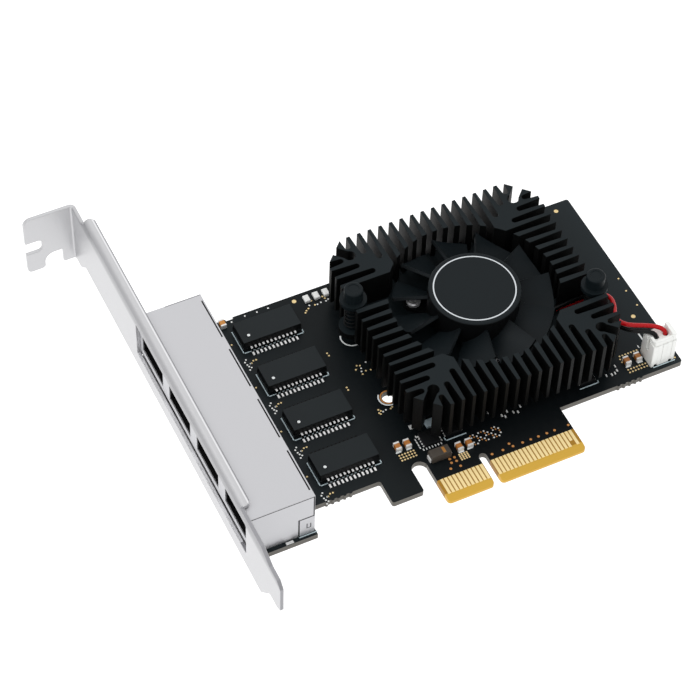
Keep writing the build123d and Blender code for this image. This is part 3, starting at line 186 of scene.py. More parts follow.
def finish(name, hex_value, roughness, metallic=0.0, grain_mm=0.6, tint=0.06, bump_mm=0.004,
           edge_mm=0.12, **shader):
    """Principled finish whose colour, roughness and height follow one noise of the given grain.
    tint is the share by which the colour darkens in the hollows and bump_mm the height of the
    grain. edge_mm is the radius at which sharp edges catch the light. The roughness swings by
    0.06 either way."""
    swing = 0.06
    made = bpy.data.materials.new(name)
    made.use_nodes = True
    tree = made.node_tree
    shade = tree.nodes["Principled BSDF"]
    place = add(tree, "ShaderNodeTexCoord")
    grain = add(tree, "ShaderNodeTexNoise", {"Vector": place.outputs["Object"]},
                Scale=1 / (grain_mm * MM), Detail=4.0, Roughness=0.6)
    base = linear(hex_value)
    colour = add(tree, "ShaderNodeMix", {"Factor": grain.outputs["Fac"]}, data_type="RGBA")
    colour.inputs[6].default_value = tuple(c * (1 - tint) for c in base[:3]) + (1.0,)
    colour.inputs[7].default_value = tuple(min(1.0, c * (1 + tint)) for c in base[:3]) + (1.0,)
    spread = add(tree, "ShaderNodeMapRange", {"Value": grain.outputs["Fac"]},
                 From_Min=0.3, From_Max=0.7)
    spread.inputs["To Min"].default_value = max(0.02, roughness - swing)
    spread.inputs["To Max"].default_value = min(1.0, roughness + swing)
    bump = add(tree, "ShaderNodeBump", {"Height": grain.outputs["Fac"]}, Strength=1.0,
               Distance=bump_mm * MM)
    if edge_mm:
        edge = add(tree, "ShaderNodeBevel", samples=4, Radius=edge_mm * MM)
        tree.links.new(edge.outputs["Normal"], bump.inputs["Normal"])
    tree.links.new(colour.outputs[2], shade.inputs["Base Color"])
    tree.links.new(spread.outputs["Result"], shade.inputs["Roughness"])
    tree.links.new(bump.outputs["Normal"], shade.inputs["Normal"])
    shade.inputs["Metallic"].default_value = metallic
    for key, value in shader.items():
        shade.inputs[key.replace("_", " ")].default_value = value
    return made


# A bleached paper sweep, lit from below so that it stays whiter than the card's own shadow.
SHEET_GLOW = 0.25
white_sheet = finish("lit_white_table_sheet", "#FFFFFF", 0.9, bump_mm=0.0, tint=0.0, edge_mm=0,
                     Emission_Color=(1, 1, 1, 1), Emission_Strength=SHEET_GLOW)
floor.data.materials.append(white_sheet)
print("floor finish", white_sheet.name, "and mid grey is", round(linear("#808080")[0], 3), "linear")

# %% [markdown]
# ## Zones of a finish
# One part often shows more than one tone: a sheet is darker in its bend, a board is bare on its cut
# edges. Painting that into a picture would need a layout of the faces, and a second object would
# need cutting. A zone is simpler: a factor between 0 and 1, worked out from the place or the
# direction of the surface, lays a second colour over the first.

# %% Zones


def inside(material, *factors, **limits):
    """Factor that is 1 where the Object coordinates keep every limit, such as x_over or y_under,
    in millimetres, and 0 elsewhere, times any other factors that are given."""
    tree = material.node_tree
    place = add(tree, "ShaderNodeTexCoord")
    split = add(tree, "ShaderNodeSeparateXYZ", {"Vector": place.outputs["Object"]})
    parts = list(factors)
    for name, limit in limits.items():
        axis, side = name.split("_")
        kind = {"over": "GREATER_THAN", "under": "LESS_THAN"}[side]
        test = add(tree, "ShaderNodeMath", {"Value": split.outputs[axis.upper()]}, operation=kind)
        test.inputs[1].default_value = limit * MM
        parts.append(test.outputs["Value"])
    while len(parts) > 1:
        both = add(tree, "ShaderNodeMath", {"Value": parts.pop()}, operation="MULTIPLY")
        tree.links.new(parts.pop(), both.inputs[1])
        parts.append(both.outputs["Value"])
    return parts[0]


def upright(material):
    """Factor that is 1 on upright faces and 0 on level ones: 1 - smoothstep(0.2, 0.8, |nz|)."""
    tree = material.node_tree
    place = add(tree, "ShaderNodeTexCoord")
    split = add(tree, "ShaderNodeSeparateXYZ", {"Vector": place.outputs["Normal"]})
    size = add(tree, "ShaderNodeMath", {"Value": split.outputs["Z"]}, operation="ABSOLUTE")
    ramp = add(tree, "ShaderNodeMapRange", {"Value": size.outputs["Value"]},
               interpolation_type="SMOOTHSTEP", From_Min=0.2, From_Max=0.8)
    ramp.inputs["To Min"].default_value = 1.0
    ramp.inputs["To Max"].default_value = 0.0
    return ramp.outputs["Result"]


def slow_change(material, points, axis="X"):
    """Factor that follows points of (place in mm, value) along an axis, straight between them."""
    tree = material.node_tree
    low, high = points[0][0], points[-1][0]
    place = add(tree, "ShaderNodeTexCoord")
    split = add(tree, "ShaderNodeSeparateXYZ", {"Vector": place.outputs["Object"]})
    share = add(tree, "ShaderNodeMapRange", {"Value": split.outputs[axis]}, From_Min=low * MM,
                From_Max=high * MM)
    ramp = add(tree, "ShaderNodeValToRGB", {"Fac": share.outputs["Result"]})
    stops = ramp.color_ramp.elements
    while len(stops) < len(points):
        stops.new(0.5)
    for stop, (at, value) in zip(stops, points):
        stop.position = (at - low) / (high - low)
        stop.color = (value, value, value, 1.0)
    return ramp.outputs["Color"]


def over(material, factor, hex_value, metallic=None):
    """Lay a second colour over a finish where the factor is 1, with its metallic value if given."""
    tree = material.node_tree
    shade = tree.nodes["Principled BSDF"]
    mix = add(tree, "ShaderNodeMix", {"Factor": factor}, data_type="RGBA")
    tree.links.new(shade.inputs["Base Color"].links[0].from_socket, mix.inputs[6])
    mix.inputs[7].default_value = linear(hex_value)
    tree.links.new(mix.outputs[2], shade.inputs["Base Color"])
    if metallic is not None:
        level = add(tree, "ShaderNodeMapRange", {"Value": factor})
        level.inputs["To Min"].default_value = shade.inputs["Metallic"].default_value
        level.inputs["To Max"].default_value = metallic
        tree.links.new(level.outputs["Result"], shade.inputs["Metallic"])


print("one millimetre in Object coordinates is", MM)

# %% [markdown]
# ## Metal parts
# Every part of the frame keeps its own mesh and only gets a finish. A metal is told by how it was
# formed and plated: a tumbled sheet gives wide soft tones, a ground shaft a thin bright line, and
# an oxide takes the shine away. Roughness does that work, and the colour is what the plating leaves.

# %% Finishes of the metal parts
DULL = 0.12
MATERIALS = {
    # Cold rolled sheet, nickel plated and tumbled: a satin that turns the soft boxes into pale areas.
    "bracket": finish("satin_nickel_plated_steel", "#C8C8CA", 0.36, 0.85, grain_mm=0.25,
                      tint=0.02, edge_mm=0.3),
    # Cold headed and zinc plated: a brighter, slightly blue shine.
    "bracket_screws": finish("bright_zinc_plated_screw", "#C6C6C8", 0.3, 1.0, grain_mm=0.3),
    # Turned from bar: warm yellow with a fine shine.
    "jack_inserts": finish("turned_brass", "#C9A763", 0.3, 1.0),
    # Stamped from strip and gold plated: deep yellow, nearly a mirror.
    "jack_contacts": finish("gold_plated_contact", "#E2BF62", 0.25, 1.0),
    # Thin tinned sheet, folded over the jacks and left as rolled: even and greyer than nickel.
    "jack_shield": finish("satin_tinned_steel", "#C7C7CA", 0.45, 0.8, grain_mm=0.3, tint=0.02),
    # Drawn copper cap, nickel plated.
    "controller_lid": finish("nickel_plated_lid", "#B9B9BB", 0.35, 1.0),
    # Spring wire, blackened in hot oxide after coiling: it drinks the light.
    "push_pin_springs": finish("black_oxide_spring_wire", "#0D0E0F", 0.5, Specular_IOR_Level=DULL),
    # Small zinc plated screws, the brightest spots inside the well.
    "fan_screws": finish("zinc_plated_small_screw", "#F0F0F2", 0.35, 0.5),
    # The fan's inside: punched iron, enamelled wire, pressed bronze, a ground shaft and a drawn cup.
    "stator_core": finish("stacked_iron_sheet", "#5A5A5C", 0.5, 1.0),
    "stator_coils": finish("enamelled_copper_wire", "#B5652E", 0.35, 0.9),
    "fan_bearing": finish("sintered_bronze", "#9C7B4A", 0.5, 1.0),
    "fan_shaft": finish("ground_steel_shaft", "#C8C8CA", 0.2, 1.0),
    "rotor_yoke": finish("drawn_steel_cup", "#9A9A9C", 0.35, 1.0),
    # Foil, hot stamped on the hub: a bright thin ring with a soft shine.
    "hub_ring": finish("bright_foil_ring", "#D8DDE1", 0.35, 0.5),
    # Square wire, tin plated.
    "header_pins": finish("tinned_pin", "#BDBDBB", 0.35, 1.0),
    # Fired silver under tin, whiter than solid metal because its grain scatters the light.
    "capacitor_end_caps": finish("tinned_end_cap", "#EFEFED", 0.4, 0.3, edge_mm=0.06),
    # Seam welded lid of an iron alloy; its cool tint is a painted reflection of the room's light.
    "crystal": finish("nickel_iron_crystal_lid", "#CFE2EA", 0.35, 0.3),
    # Hard gold over nickel, plated on the contact tab: flat, pale yellow and smooth.
    "contact_pads_component_side": finish("hard_gold_plate", "#FCE4A6", 0.34, 0.3, grain_mm=0.8,
                                          bump_mm=0.0005, tint=0.03, edge_mm=0),
}
MATERIALS["contact_pads_solder_side"] = MATERIALS["contact_pads_component_side"]
MATERIALS["plug_sockets"] = MATERIALS["jack_contacts"]
MATERIALS["block_capacitor_tabs"] = MATERIALS["capacitor_end_caps"]
MATERIALS["regulator_solder"] = MATERIALS["capacitor_end_caps"]
print("metal parts with a finish:", len(MATERIALS))

# %% [markdown]
# ## Plastic, resin and ceramic parts
# Most of the card is black, and black parts are told apart by how much light they send back. A
# screened ink is flat, a coated casting shows a fine grain and moulded nylon has a soft shine. So
# each gets its own dark tone. Nearly all have a low specular level, because in the photograph they
# stay dark even where a lamp mirrors in them.

# %% Finishes of the plastic, resin and ceramic parts
metal_count = len(MATERIALS)
MATERIALS.update({
    # Two part ink, screened over the copper and baked, on woven glass laminate: flat and dark.
    "board": finish("black_solder_mask_on_glass_laminate", "#0A0E10", 0.35, grain_mm=0.9,
                    tint=0.08, edge_mm=0, Specular_IOR_Level=DULL),
    # Cast in one piece and coated black all over: a fine dry grain.
    "heatsink": finish("black_coated_cast_aluminium", "#171E21", 0.5, grain_mm=0.35, tint=0.08,
                       Specular_IOR_Level=DULL),
    # Glass filled plastic, moulded: even black with hardly any shine.
    "fan_base": finish("moulded_black_fan_frame", "#101213", 0.45, Specular_IOR_Level=DULL),
    "fan_impeller": finish("moulded_black_impeller", "#151B1E", 0.42, grain_mm=0.4,
                           Specular_IOR_Level=DULL),
    "push_pin_left": finish("moulded_black_nylon", "#12191C", 0.45, grain_mm=0.4,
                            Specular_IOR_Level=DULL),
    # The jacks' bodies and contact carriers lie in shadow, so their flattest blacks are painted shade.
    "jack_housing": finish("moulded_black_jack_plastic", "#0C0C0D", 0.5, Specular_IOR_Level=DULL),
    "contact_carriers": finish("moulded_black_carrier", "#101011", 0.5, Specular_IOR_Level=DULL),
    # Laminates without the black ink keep their own green.
    "controller_substrate": finish("green_glass_laminate", "#22402A", 0.5),
    "fan_circuit_board": finish("green_fan_laminate", "#2A4630", 0.5),
    # Filled silicone, cut from a sheet: soft and without shine.
    "thermal_pad": finish("grey_silicone_pad", "#A9A9AE", 0.8),
    "shaft_clip": finish("pale_moulded_clip", "#DEDED8", 0.5),
    # Ferrite powder in plastic, moulded as a ring.
    "rotor_magnet": finish("bonded_ferrite", "#2B2B2C", 0.6),
    # Nylon without pigment: milky white.
    "lead_plug": finish("natural_nylon_plug", "#F3F4F1", 0.45, grain_mm=0.5, tint=0.03),
    # Fired ceramic: brown for the capacitors and white for the inductors.
    "chip_capacitors": finish("fired_brown_ceramic", "#B06F30", 0.5, grain_mm=0.3, edge_mm=0.06),
    "chip_inductors": finish("fired_white_ceramic", "#EDEEEC", 0.5, grain_mm=0.3),
    # Transfer moulded resins, whose fine filler gives a dry satin.
    "block_capacitor": finish("moulded_grey_brown_resin", "#453E37", 0.5, grain_mm=0.3),
    "regulator_chips": finish("moulded_black_chip_resin", "#131415", 0.5, grain_mm=0.25,
                              Specular_IOR_Level=DULL),
    "line_transformer_1": finish("moulded_black_transformer_resin", "#141B1E", 0.42,
                                 grain_mm=0.25, Specular_IOR_Level=0.2),
})
MATERIALS["push_pin_right"] = MATERIALS["push_pin_left"]
MATERIALS["header_box"] = MATERIALS["lead_plug"]
for number in range(2, 5):
    MATERIALS[f"line_transformer_{number}"] = MATERIALS["line_transformer_1"]
print("plastic, resin and ceramic parts with a finish:", len(MATERIALS) - metal_count)

# %% [markdown]
# ## Bend and edges of the sheet metal
# The sheet gets painted shade in its bend, and along the flange a line of painted highlight with a line
# of painted shade at its free edge, where it stands over the shield. In the photograph these lines give
# the bracket its shape, so they're drawn as zones. The bend's zone is a ramp up the face times a ramp
# over the bend.

# %% Bracket and shield zones
FACE_X = -59.91
FLANGE_DEPTH = 2.6
SHEET_THICKNESS = 0.8
SCREW_TAB_Y = 106.9
WINDOW_SILL = {"z_over": 1.5, "z_under": 1.66}
NEAR_END_Y = 9.0
UP_THE_FACE = [(11.2, 0.0), (12.0, 0.45), (12.8, 0.8), (13.6, 1.0), (15.6, 1.0)]
OVER_THE_BEND = [(-59.95, 1.0), (-59.85, 0.9), (-59.7, 0.6), (-59.4, 0.35), (-58.9, 0.12),
                 (-58.5, 0.0)]
# Each line along the flange: its two distances behind the face, and its tone, the first a painted
# highlight and the second painted shade at the free edge.
FLANGE_HIGHLIGHT_AND_SHADE_LINES = [(1.95, 2.25, "#E6E6E8"), (FLANGE_DEPTH - 0.22, FLANGE_DEPTH + 0.1, "#9A9A9E")]

steel = MATERIALS["bracket"]
# Painted shade: the bend is darkened by a ramp up the face times a ramp over the bend.
painted_bend_shade = inside(steel, slow_change(steel, UP_THE_FACE, "Z"), slow_change(steel, OVER_THE_BEND),
              x_over=FACE_X - 0.2, y_under=SCREW_TAB_Y)
over(steel, painted_bend_shade, "#98989B")
# Painted highlight on the upward cut edge of the window's sill.
painted_sill_highlight = inside(steel, x_over=FACE_X + 0.05, x_under=FACE_X + SHEET_THICKNESS + 0.05,
                     **WINDOW_SILL)
over(steel, painted_sill_highlight, "#F2F2F4")
# Painted shade on the near cut edge of the bracket's face.
painted_near_edge_shade = inside(steel, x_over=FACE_X + 0.08, x_under=FACE_X + SHEET_THICKNESS - 0.06,
                   y_under=NEAR_END_Y)
over(steel, painted_near_edge_shade, "#9C9CA0")
flange_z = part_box("bracket")[1].z / MM
# Painted highlight and painted shade along the flange.
for start, end, tone in FLANGE_HIGHLIGHT_AND_SHADE_LINES:
    line = inside(steel, x_over=FACE_X + start, x_under=FACE_X + end, z_over=flange_z - 0.9)
    over(steel, line, tone)

# The shield is open at its far end; a thin dark line of painted shade is laid along it.
FAR_LINE_X = -52.5
tin = MATERIALS["jack_shield"]
shield_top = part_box("jack_shield")[1]
painted_far_edge_shade = inside(tin, x_over=FAR_LINE_X, y_over=shield_top.y / MM - 0.2,
                  z_over=shield_top.z / MM - 0.3)
over(tin, painted_far_edge_shade, "#6E6E73")
print("zones on the bracket:", 3 + len(FLANGE_HIGHLIGHT_AND_SHADE_LINES), "flange top at", round(flange_z, 2), "mm")

# %% [markdown]
# ## Tones of the board and of the black parts
# The board mirrors the room: its ink looks greyer at both ends of the card and darker under the cooler,
# which is laid in as a painted reflection. Its cut edges show the bare laminate, and under the contacts
# the tab is gold all over.
# The photograph's black parts are darker on their upright faces than these lamps make them, so those
# faces get painted shade, a darker tone of the same finish.

# %% Board zones and upright faces
SHEEN = [(-60, 1.0), (-40, 0.8), (-20, 0.25), (0, 0.0), (30, 0.0), (42, 0.55), (55, 1.0)]
TAB_MARGIN = 1.2
TAB_BEVEL = 0.25
# Painted shade on the upright faces of these black parts.
UPRIGHT_PAINTED_SHADE = {"heatsink": "#090A0A", "fan_impeller": "#0B0C0D", "line_transformer_1": "#0A0B0C"}

ink = MATERIALS["board"]
# Painted reflection: the ink turns greyer towards both ends of the card.
over(ink, slow_change(ink, SHEEN), "#1E2528")
over(ink, upright(ink), "#68655F")
pads_low, pads_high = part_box("contact_pads_component_side")
tab_start = pads_low.x / MM - TAB_MARGIN
over(ink, inside(ink, x_over=tab_start, y_under=pads_high.y / MM), "#A97C2B", 0.4)
over(ink, inside(ink, x_over=tab_start, y_under=pads_low.y / MM + TAB_BEVEL), "#D6AB48", 0.5)
for node, tone in UPRIGHT_PAINTED_SHADE.items():
    over(MATERIALS[node], upright(MATERIALS[node]), tone)

# The capacitor at the far corner has a brighter body than the others.
ceramic = MATERIALS["chip_capacitors"]
over(ceramic, inside(ceramic, x_under=-30, y_over=60), "#D08A35")
print("gold tab from x", round(tab_start, 2), "mm up to y", round(pads_high.y / MM, 2), "mm")

# %% [markdown]
# ## Transformer leads
# A gull-wing lead is tinned wire, bent like an S. Its shoulder and its foot lie level and catch the
# lamps, while the slope between them mirrors the black board. At this size that reads as two rows of
# white dots, so two zones by height paint the board's reflection on the slope, and a third lays painted
# shadow over the far row, behind the body.

# %% Finish of the leads and setting of all finishes
FOOT_HEIGHT = 0.26
SHOULDER_DEPTH = 0.1


def lead_finish(number):
    """Tinned leads of one transformer: bright on the shoulders and feet, with a painted reflection of
    the board on the slopes between them and painted shadow on the far row behind the body."""
    made = finish(f"tinned_lead_{number}", "#FFFFFF", 0.4, 0.1, tint=0.02, edge_mm=0.04,
                  Specular_IOR_Level=DULL)
    low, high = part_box(f"transformer_leads_{number}")
    # Painted reflection of the black board on the slopes.
    painted_slope_reflection = inside(made, z_over=low.z / MM + FOOT_HEIGHT, z_under=high.z / MM - SHOULDER_DEPTH)
    over(made, painted_slope_reflection, "#101213", 0.0)
    # Painted shadow over the far row, behind the body.
    over(made, inside(made, y_over=(low.y + high.y) / 2 / MM), "#050606", 0.0)
    return made


for number in range(1, 5):
    MATERIALS[f"transformer_leads_{number}"] = lead_finish(number)
for node, material in MATERIALS.items():
    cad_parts[node].data.materials.clear()
    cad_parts[node].data.materials.append(material)
print("finishes set on", len(MATERIALS), "nodes, left over:",
      sorted(set(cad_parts) - set(MATERIALS) - {"lead_wire_red", "lead_wire_black"}))

# %% [markdown]
# ## Flat shapes on the board
# A board's small marks all lie in its top plane, so they are flat shapes at a hair above it: boxes
# for the printed lines and solder, discs for the vias and bands for the bare copper round a hole.
# A thousand small objects would slow Blender down, so each kind is one mesh, whose corners are
# worked out as one array for all copies at once.

# %% Flat shapes
PRINT_THICKNESS = 0.02
LINE_WIDTH = 0.26
TOP = board_top / MM


def boxes(name, places, material):
    """One mesh of boxes. Each row of places is x0, y0, z0, x1, y1, z1 in millimetres. A corner
    takes the low or the high value of each axis, by the bits of its number from 0 to 7."""
    ends = np.array(places, float).reshape(-1, 2, 3)
    pick = np.array([(i & 1, i >> 1 & 1, i >> 2) for i in range(8)])
    corners = np.stack([ends[:, pick[:, k], k] for k in range(3)], axis=-1).reshape(-1, 3)
    sides = np.array([(0, 2, 3, 1), (4, 5, 7, 6), (0, 1, 5, 4), (2, 6, 7, 3), (0, 4, 6, 2),
                      (1, 3, 7, 5)])
    faces = (8 * np.arange(len(ends))[:, None, None] + sides).reshape(-1, 4)
    return dress(mesh_object(name, corners * MM, faces.tolist()), material)


def discs(name, places, z, material, sides=12):
    """One mesh of flat discs at height z. Each row of places is x, y, radius in millimetres, and
    a rim point is the centre plus radius times (cos a, sin a)."""
    spots = np.array(places, float)
    angle = np.arange(sides) * 2 * np.pi / sides
    rim = np.stack([np.cos(angle), np.sin(angle)], axis=-1)
    flat = spots[:, None, :2] + spots[:, None, 2:] * rim
    corners = np.concatenate([flat, np.full(flat.shape[:2] + (1,), z)], axis=-1).reshape(-1, 3)
    faces = np.arange(len(corners)).reshape(-1, sides)
    return dress(mesh_object(name, corners * MM, faces.tolist()), material)


def arc(name, center, radii, angles, z, material, steps=28):
    """Flat band between two radii, from one angle to another in degrees: a grid of two rows,
    center + radius (cos a, sin a). A full turn shares its first column with its last."""
    columns = steps if angles[1] - angles[0] == 360 else steps + 1
    angle = np.radians(np.linspace(*angles, steps + 1))[:columns]
    rim = np.stack([np.cos(angle), np.sin(angle)], axis=-1)
    flat = np.concatenate([np.array(center) + r * rim for r in radii])
    corners = np.column_stack([flat, np.full(len(flat), z)])
    here = np.arange(steps)
    after = (here + 1) % columns
    faces = np.column_stack([here, here + columns, after + columns, after])
    return dress(mesh_object(name, corners * MM, faces.tolist()), material)


def dress(made, material):
    """Give a new piece its finish and let it ride on the card."""
    made.data.materials.append(material)
    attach(made, "card")
    return made


print("board top at", round(TOP, 3), "mm, print", PRINT_THICKNESS, "mm above it")

# %% [markdown]
# ## Printed lines
# White ink is screened over the black one: an L beside each transformer's first lead, lines round
# the chips, short bars beside the small parts and an arc beside a hole. The lines are thinner than
# a millimetre, so they're boxes with hardly any height, drawn a little wider than real ones, or
# they would drop out between two pixels. The thin lines are greyer, because they cover less.

# %% Printed lines
# Screened epoxy ink: dull and slightly cool.
silk_white = finish("white_legend_ink", "#E8ECEC", 0.6, edge_mm=0)
silk_pale = finish("thin_white_legend_ink", "#C6D8DE", 0.6, edge_mm=0)
PRINT_TOP = TOP + PRINT_THICKNESS
TRANSFORMER_STEP = 13.9
TRANSFORMER_SHIFTS = [TRANSFORMER_STEP * n for n in range(4)]
FIRST_LINE_Y = 57.6
BAR_LENGTH = 1.0
DOT_RADIUS = 0.38


def printed(x0, y0, x1, y1, width=LINE_WIDTH):
    """Box of a printed line between two points on one axis, half its width past both ends."""
    half = width / 2
    return (min(x0, x1) - half, min(y0, y1) - half, TOP, max(x0, x1) + half, max(y0, y1) + half,
            PRINT_TOP)


outline_lines = []
for shift in TRANSFORMER_SHIFTS:
    y0 = FIRST_LINE_Y - shift
    outline_lines += [printed(-37.1, y0 + 7.0, -37.1, y0), printed(-37.1, y0, -21.7, y0),
                      printed(-21.7, y0, -21.7, y0 + 0.8)]
outline_lines += [printed(-5.6, 16.2, -5.6, 15.4), printed(-5.6, 15.4, -0.5, 15.4),
                  printed(29.6, 15.5, 34.5, 15.5), printed(34.5, 15.5, 34.5, 16.0),
                  printed(48.4, 13.95, 54.0, 13.95), printed(-47.2, 5.2, -42.9, 5.2)]
boxes("legend_outlines", outline_lines, silk_pale)
bar_starts = [(-17.4, 16.9), (-14.8, 16.8), (-4.3, 11.1), (-2.1, 11.2), (42.6, 16.7), (45.8, 16.7)]
legend_bars = [printed(x, y, x + BAR_LENGTH, y, 0.35) for x, y in bar_starts]
legend_bars += [printed(50.2, 24.1, 50.2, 21.9, 0.4), printed(51.9, 26.7, 52.2, 26.7, 0.3),
                printed(48.2, 20.6, 48.2, 21.2, 0.25)]
boxes("legend_bars", legend_bars, silk_white)
arc("legend_arc_push_pin", (-12.0, 51.7), (2.5, 2.85), (150, 275), PRINT_TOP, silk_white)
arc("legend_arc_free_hole", (-12.1, 32.1), (2.15, 2.5), (140, 300), PRINT_TOP, silk_white)
dot_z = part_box("line_transformer_1")[1].z / MM + PRINT_THICKNESS
dots = [(-34.8, 60.1 - shift, DOT_RADIUS) for shift in TRANSFORMER_SHIFTS]
discs("first_lead_dots", dots, dot_z, silk_white)
print("printed lines:", len(outline_lines) + len(legend_bars), "dots:", len(dots))

# %% [markdown]
# ## Vias and pads
# A via is a plated hole that joins two copper layers. From above it's a bright dot half a
# millimetre wide. The photograph shows them in gold, copper and tin, in loose groups and in
# regular fields. A disc of twelve sides looks round at that size, so hundreds of them cost little.

# %% Vias and pads
# Copper under a thin coat of tin, gold over nickel, and solder that melted and set again.
copper_via = finish("tinned_copper_via", "#CB8B4A", 0.45, 0.2, edge_mm=0)
gold_spot = finish("gold_plated_spot", "#EFD49A", 0.45, 0.2, edge_mm=0)
solder = finish("reflowed_solder", "#F0F1EF", 0.4, 0.2, edge_mm=0.05)


def grid(x0, x1, columns, y0, y1, rows):
    """Places of a regular field of vias, as rows of x and y."""
    return [(x, y) for x in np.linspace(x0, x1, columns) for y in np.linspace(y0, y1, rows)]


def repeated(places):
    """The same places beside each of the four transformers."""
    return [(x, y - shift) for shift in TRANSFORMER_SHIFTS for x, y in places]


def spots(name, places, radius, material, slot):
    """Discs of one radius on the board."""
    discs(name, [(x, y, radius) for x, y in places], PRINT_TOP, material)


spots("gold_fiducials", [(-19.8, 67.1), (51.0, 66.4), (51.7, 29.4)], 0.55, gold_spot, "pad_gold")
small_gold = [(54.1, 37.0), (54.3, 32.1), (54.3, 41.1), (-19.4, 49.6), (-19.3, 48.8), (-19.6, 38.6),
              (-19.6, 37.8), (-16.0, 65.6), (-13.0, 65.7), (-12.7, 65.0), (-15.7, 64.1),
              (-18.8, 62.8), (-18.3, 63.3), (-17.6, 63.7), (-15.4, 42.4), (-14.7, 43.4),
              (-14.0, 43.1), (-13.4, 41.2), (-12.2, 41.0), (-14.5, 40.6), (-15.8, 29.7),
              (-15.4, 29.2), (-16.0, 28.8), (-15.8, 28.4), (-12.5, 29.2), (-13.0, 28.9)]
small_gold += repeated([(-36.7, 54.3), (-36.0, 54.8), (-35.3, 54.8), (-38.7, 61.2)])
small_gold += grid(-17.2, -13.6, 6, 14.5, 16.0, 3) + grid(-4.7, -2.8, 4, 9.1, 10.6, 4)
small_gold += grid(42.7, 47.3, 7, 20.15, 20.15, 1) + grid(42.6, 47.2, 7, 15.0, 15.85, 2)
small_gold += [(42.4, 19.3), (42.4, 18.4), (48.2, 19.4), (53.4, 14.6), (54.4, 14.5)]
spots("gold_vias", small_gold, 0.23, gold_spot, "pad_gold")
tab_vias = [(x, 7.6) for x in (2.2, 5.0, 7.6, 10.1, 12.2, 14.2, 16.4, 18.4, 22.0)]
tab_vias += [(-8.2, 7.9), (-5.8, 7.7), (-7.3, 9.3), (-6.0, 9.3), (-7.2, 10.4), (-6.0, 10.4),
             (7.1, 8.6)]
spots("copper_vias", tab_vias, 0.33, copper_via, "pad_gold")
# In the field beside the tab, copper and solder alternate and some places stay free.
cluster = grid(0.0, 6.9, 11, 11.6, 14.2, 5)
spots("copper_cluster_vias", cluster[::4], 0.2, copper_via, "pad_gold")
solder_spots = cluster[1::4] + cluster[3::8]
solder_spots += [(-17.0, 64.5), (-15.1, 64.0), (-14.1, 64.2), (-12.1, 64.4), (-12.8, 64.1),
                 (-15.0, 28.8), (-14.2, 29.0), (-14.4, 41.4), (-12.3, 43.5), (-14.1, 42.3),
                 (-37.6, 67.3), (-35.9, 67.5), (-32.3, 67.9), (-29.2, 67.8), (-26.3, 67.8)]
solder_spots += repeated([(-38.0, 55.1), (-36.9, 54.3), (-37.5, 55.7), (-37.6, 53.6),
                          (-37.8, 52.6), (-37.8, 54.2), (-37.2, 53.1)])
spots("solder_spots", solder_spots, 0.22, solder, "cap_tin")
print("vias and spots:", len(small_gold) + len(tab_vias) + len(solder_spots))

# %% [markdown]
# ## Smallest chips
# The smallest resistors and capacitors are less than a millimetre long, and only their tinned ends
# show in the photograph. So each is just such an end, a low box of solder on the board, and the
# free pads of a chip are the same box, flatter.

# %% Smallest chips and free pads
CHIP_HEIGHT = 0.3
CHIP_HALF = (0.16, 0.32)
PAD_HEIGHT = 0.05
PAD_HALF = (0.13, 0.3)


def blocks(name, centers, half, height):
    """Solder boxes of one size on the board, from their centres and half their width and depth."""
    places = [(x - half[0], y - half[1], TOP, x + half[0], y + half[1], TOP + height)
              for x, y in centers]
    boxes(name, places, solder)


chip_ends = [(6.8, 18.4), (9.3, 16.3), (9.9, 15.7), (12.2, 16.1), (13.2, 15.7), (18.4, 18.3),
             (21.1, 18.4), (-11.4, 22.0), (-6.4, 21.4), (40.2, 18.0), (40.0, 16.7), (38.3, 16.1),
             (39.2, 16.2), (37.0, 16.4), (10.9, 16.9), (14.4, 16.9), (-10.8, 18.6), (-8.1, 18.5)]
blocks("small_chip_ends", chip_ends, CHIP_HALF, CHIP_HEIGHT)
pad_rows = [(x, y) for x in np.linspace(-11.4, -6.9, 7) for y in (15.2, 19.2)]
pad_rows += [(x, y) for y in np.linspace(16.0, 18.4, 4) for x in (-11.9, -6.4)]
blocks("chip_pads", pad_rows, PAD_HALF, PAD_HEIGHT)
print("chip ends:", len(chip_ends), "free pads:", len(pad_rows))

# %% [markdown]
# ## Polarity band, corner pad and bare holes
# The moulded capacitor has an ochre band on its top that marks one pole, printed with a dull ink.
# Two unused holes in the board have a ring of bare copper round them, left free of the black ink.

# %% Polarity band, corner pad and bare holes
BAND_FROM_END = 3.1
BAND_WIDTH = 0.7
BAND_INSET = 0.45
BAND_DEPTH = 0.05
LAND_RADII = (1.62, 2.0)
FREE_HOLES = {"left": (-12.1, 32.1), "right": (41.0, 51.7)}

block_low, block_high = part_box("block_capacitor")
band_x = block_low.x / MM + BAND_FROM_END
band = (band_x, block_low.y / MM + BAND_INSET, block_high.z / MM - BAND_DEPTH, band_x + BAND_WIDTH,
        block_high.y / MM - BAND_INSET, block_high.z / MM + PRINT_THICKNESS)
ochre_ink = finish("ochre_polarity_ink", "#A9712E", 0.6, edge_mm=0)
boxes("polarity_band", [band], ochre_ink)
boxes("corner_chip_end", [(-11.7, 21.5, TOP, -10.9, 22.5, TOP + 0.4)], solder)
for side, center in FREE_HOLES.items():
    arc(f"free_hole_land_{side}", center, LAND_RADII, (0, 360), TOP + PRINT_THICKNESS / 2,
        copper_via)
print("polarity band at x", round(band_x, 2), "mm, bare holes:", len(FREE_HOLES))

# %% [markdown]
# ## The shield's seams
# The shield is folded from one sheet. Its near side is closed by a flap under the roof, so a thin dark
# seam runs along the roof and down the rear corner, and a small mark is punched beside it. At the front
# a narrow sill of the jacks' black plastic reaches down before the board's edge, and it also stands in
# as painted shade for the dark gap there. A seam is an open gap, too thin to model as one: a dark strip,
# set flush into the sheet, looks the same.

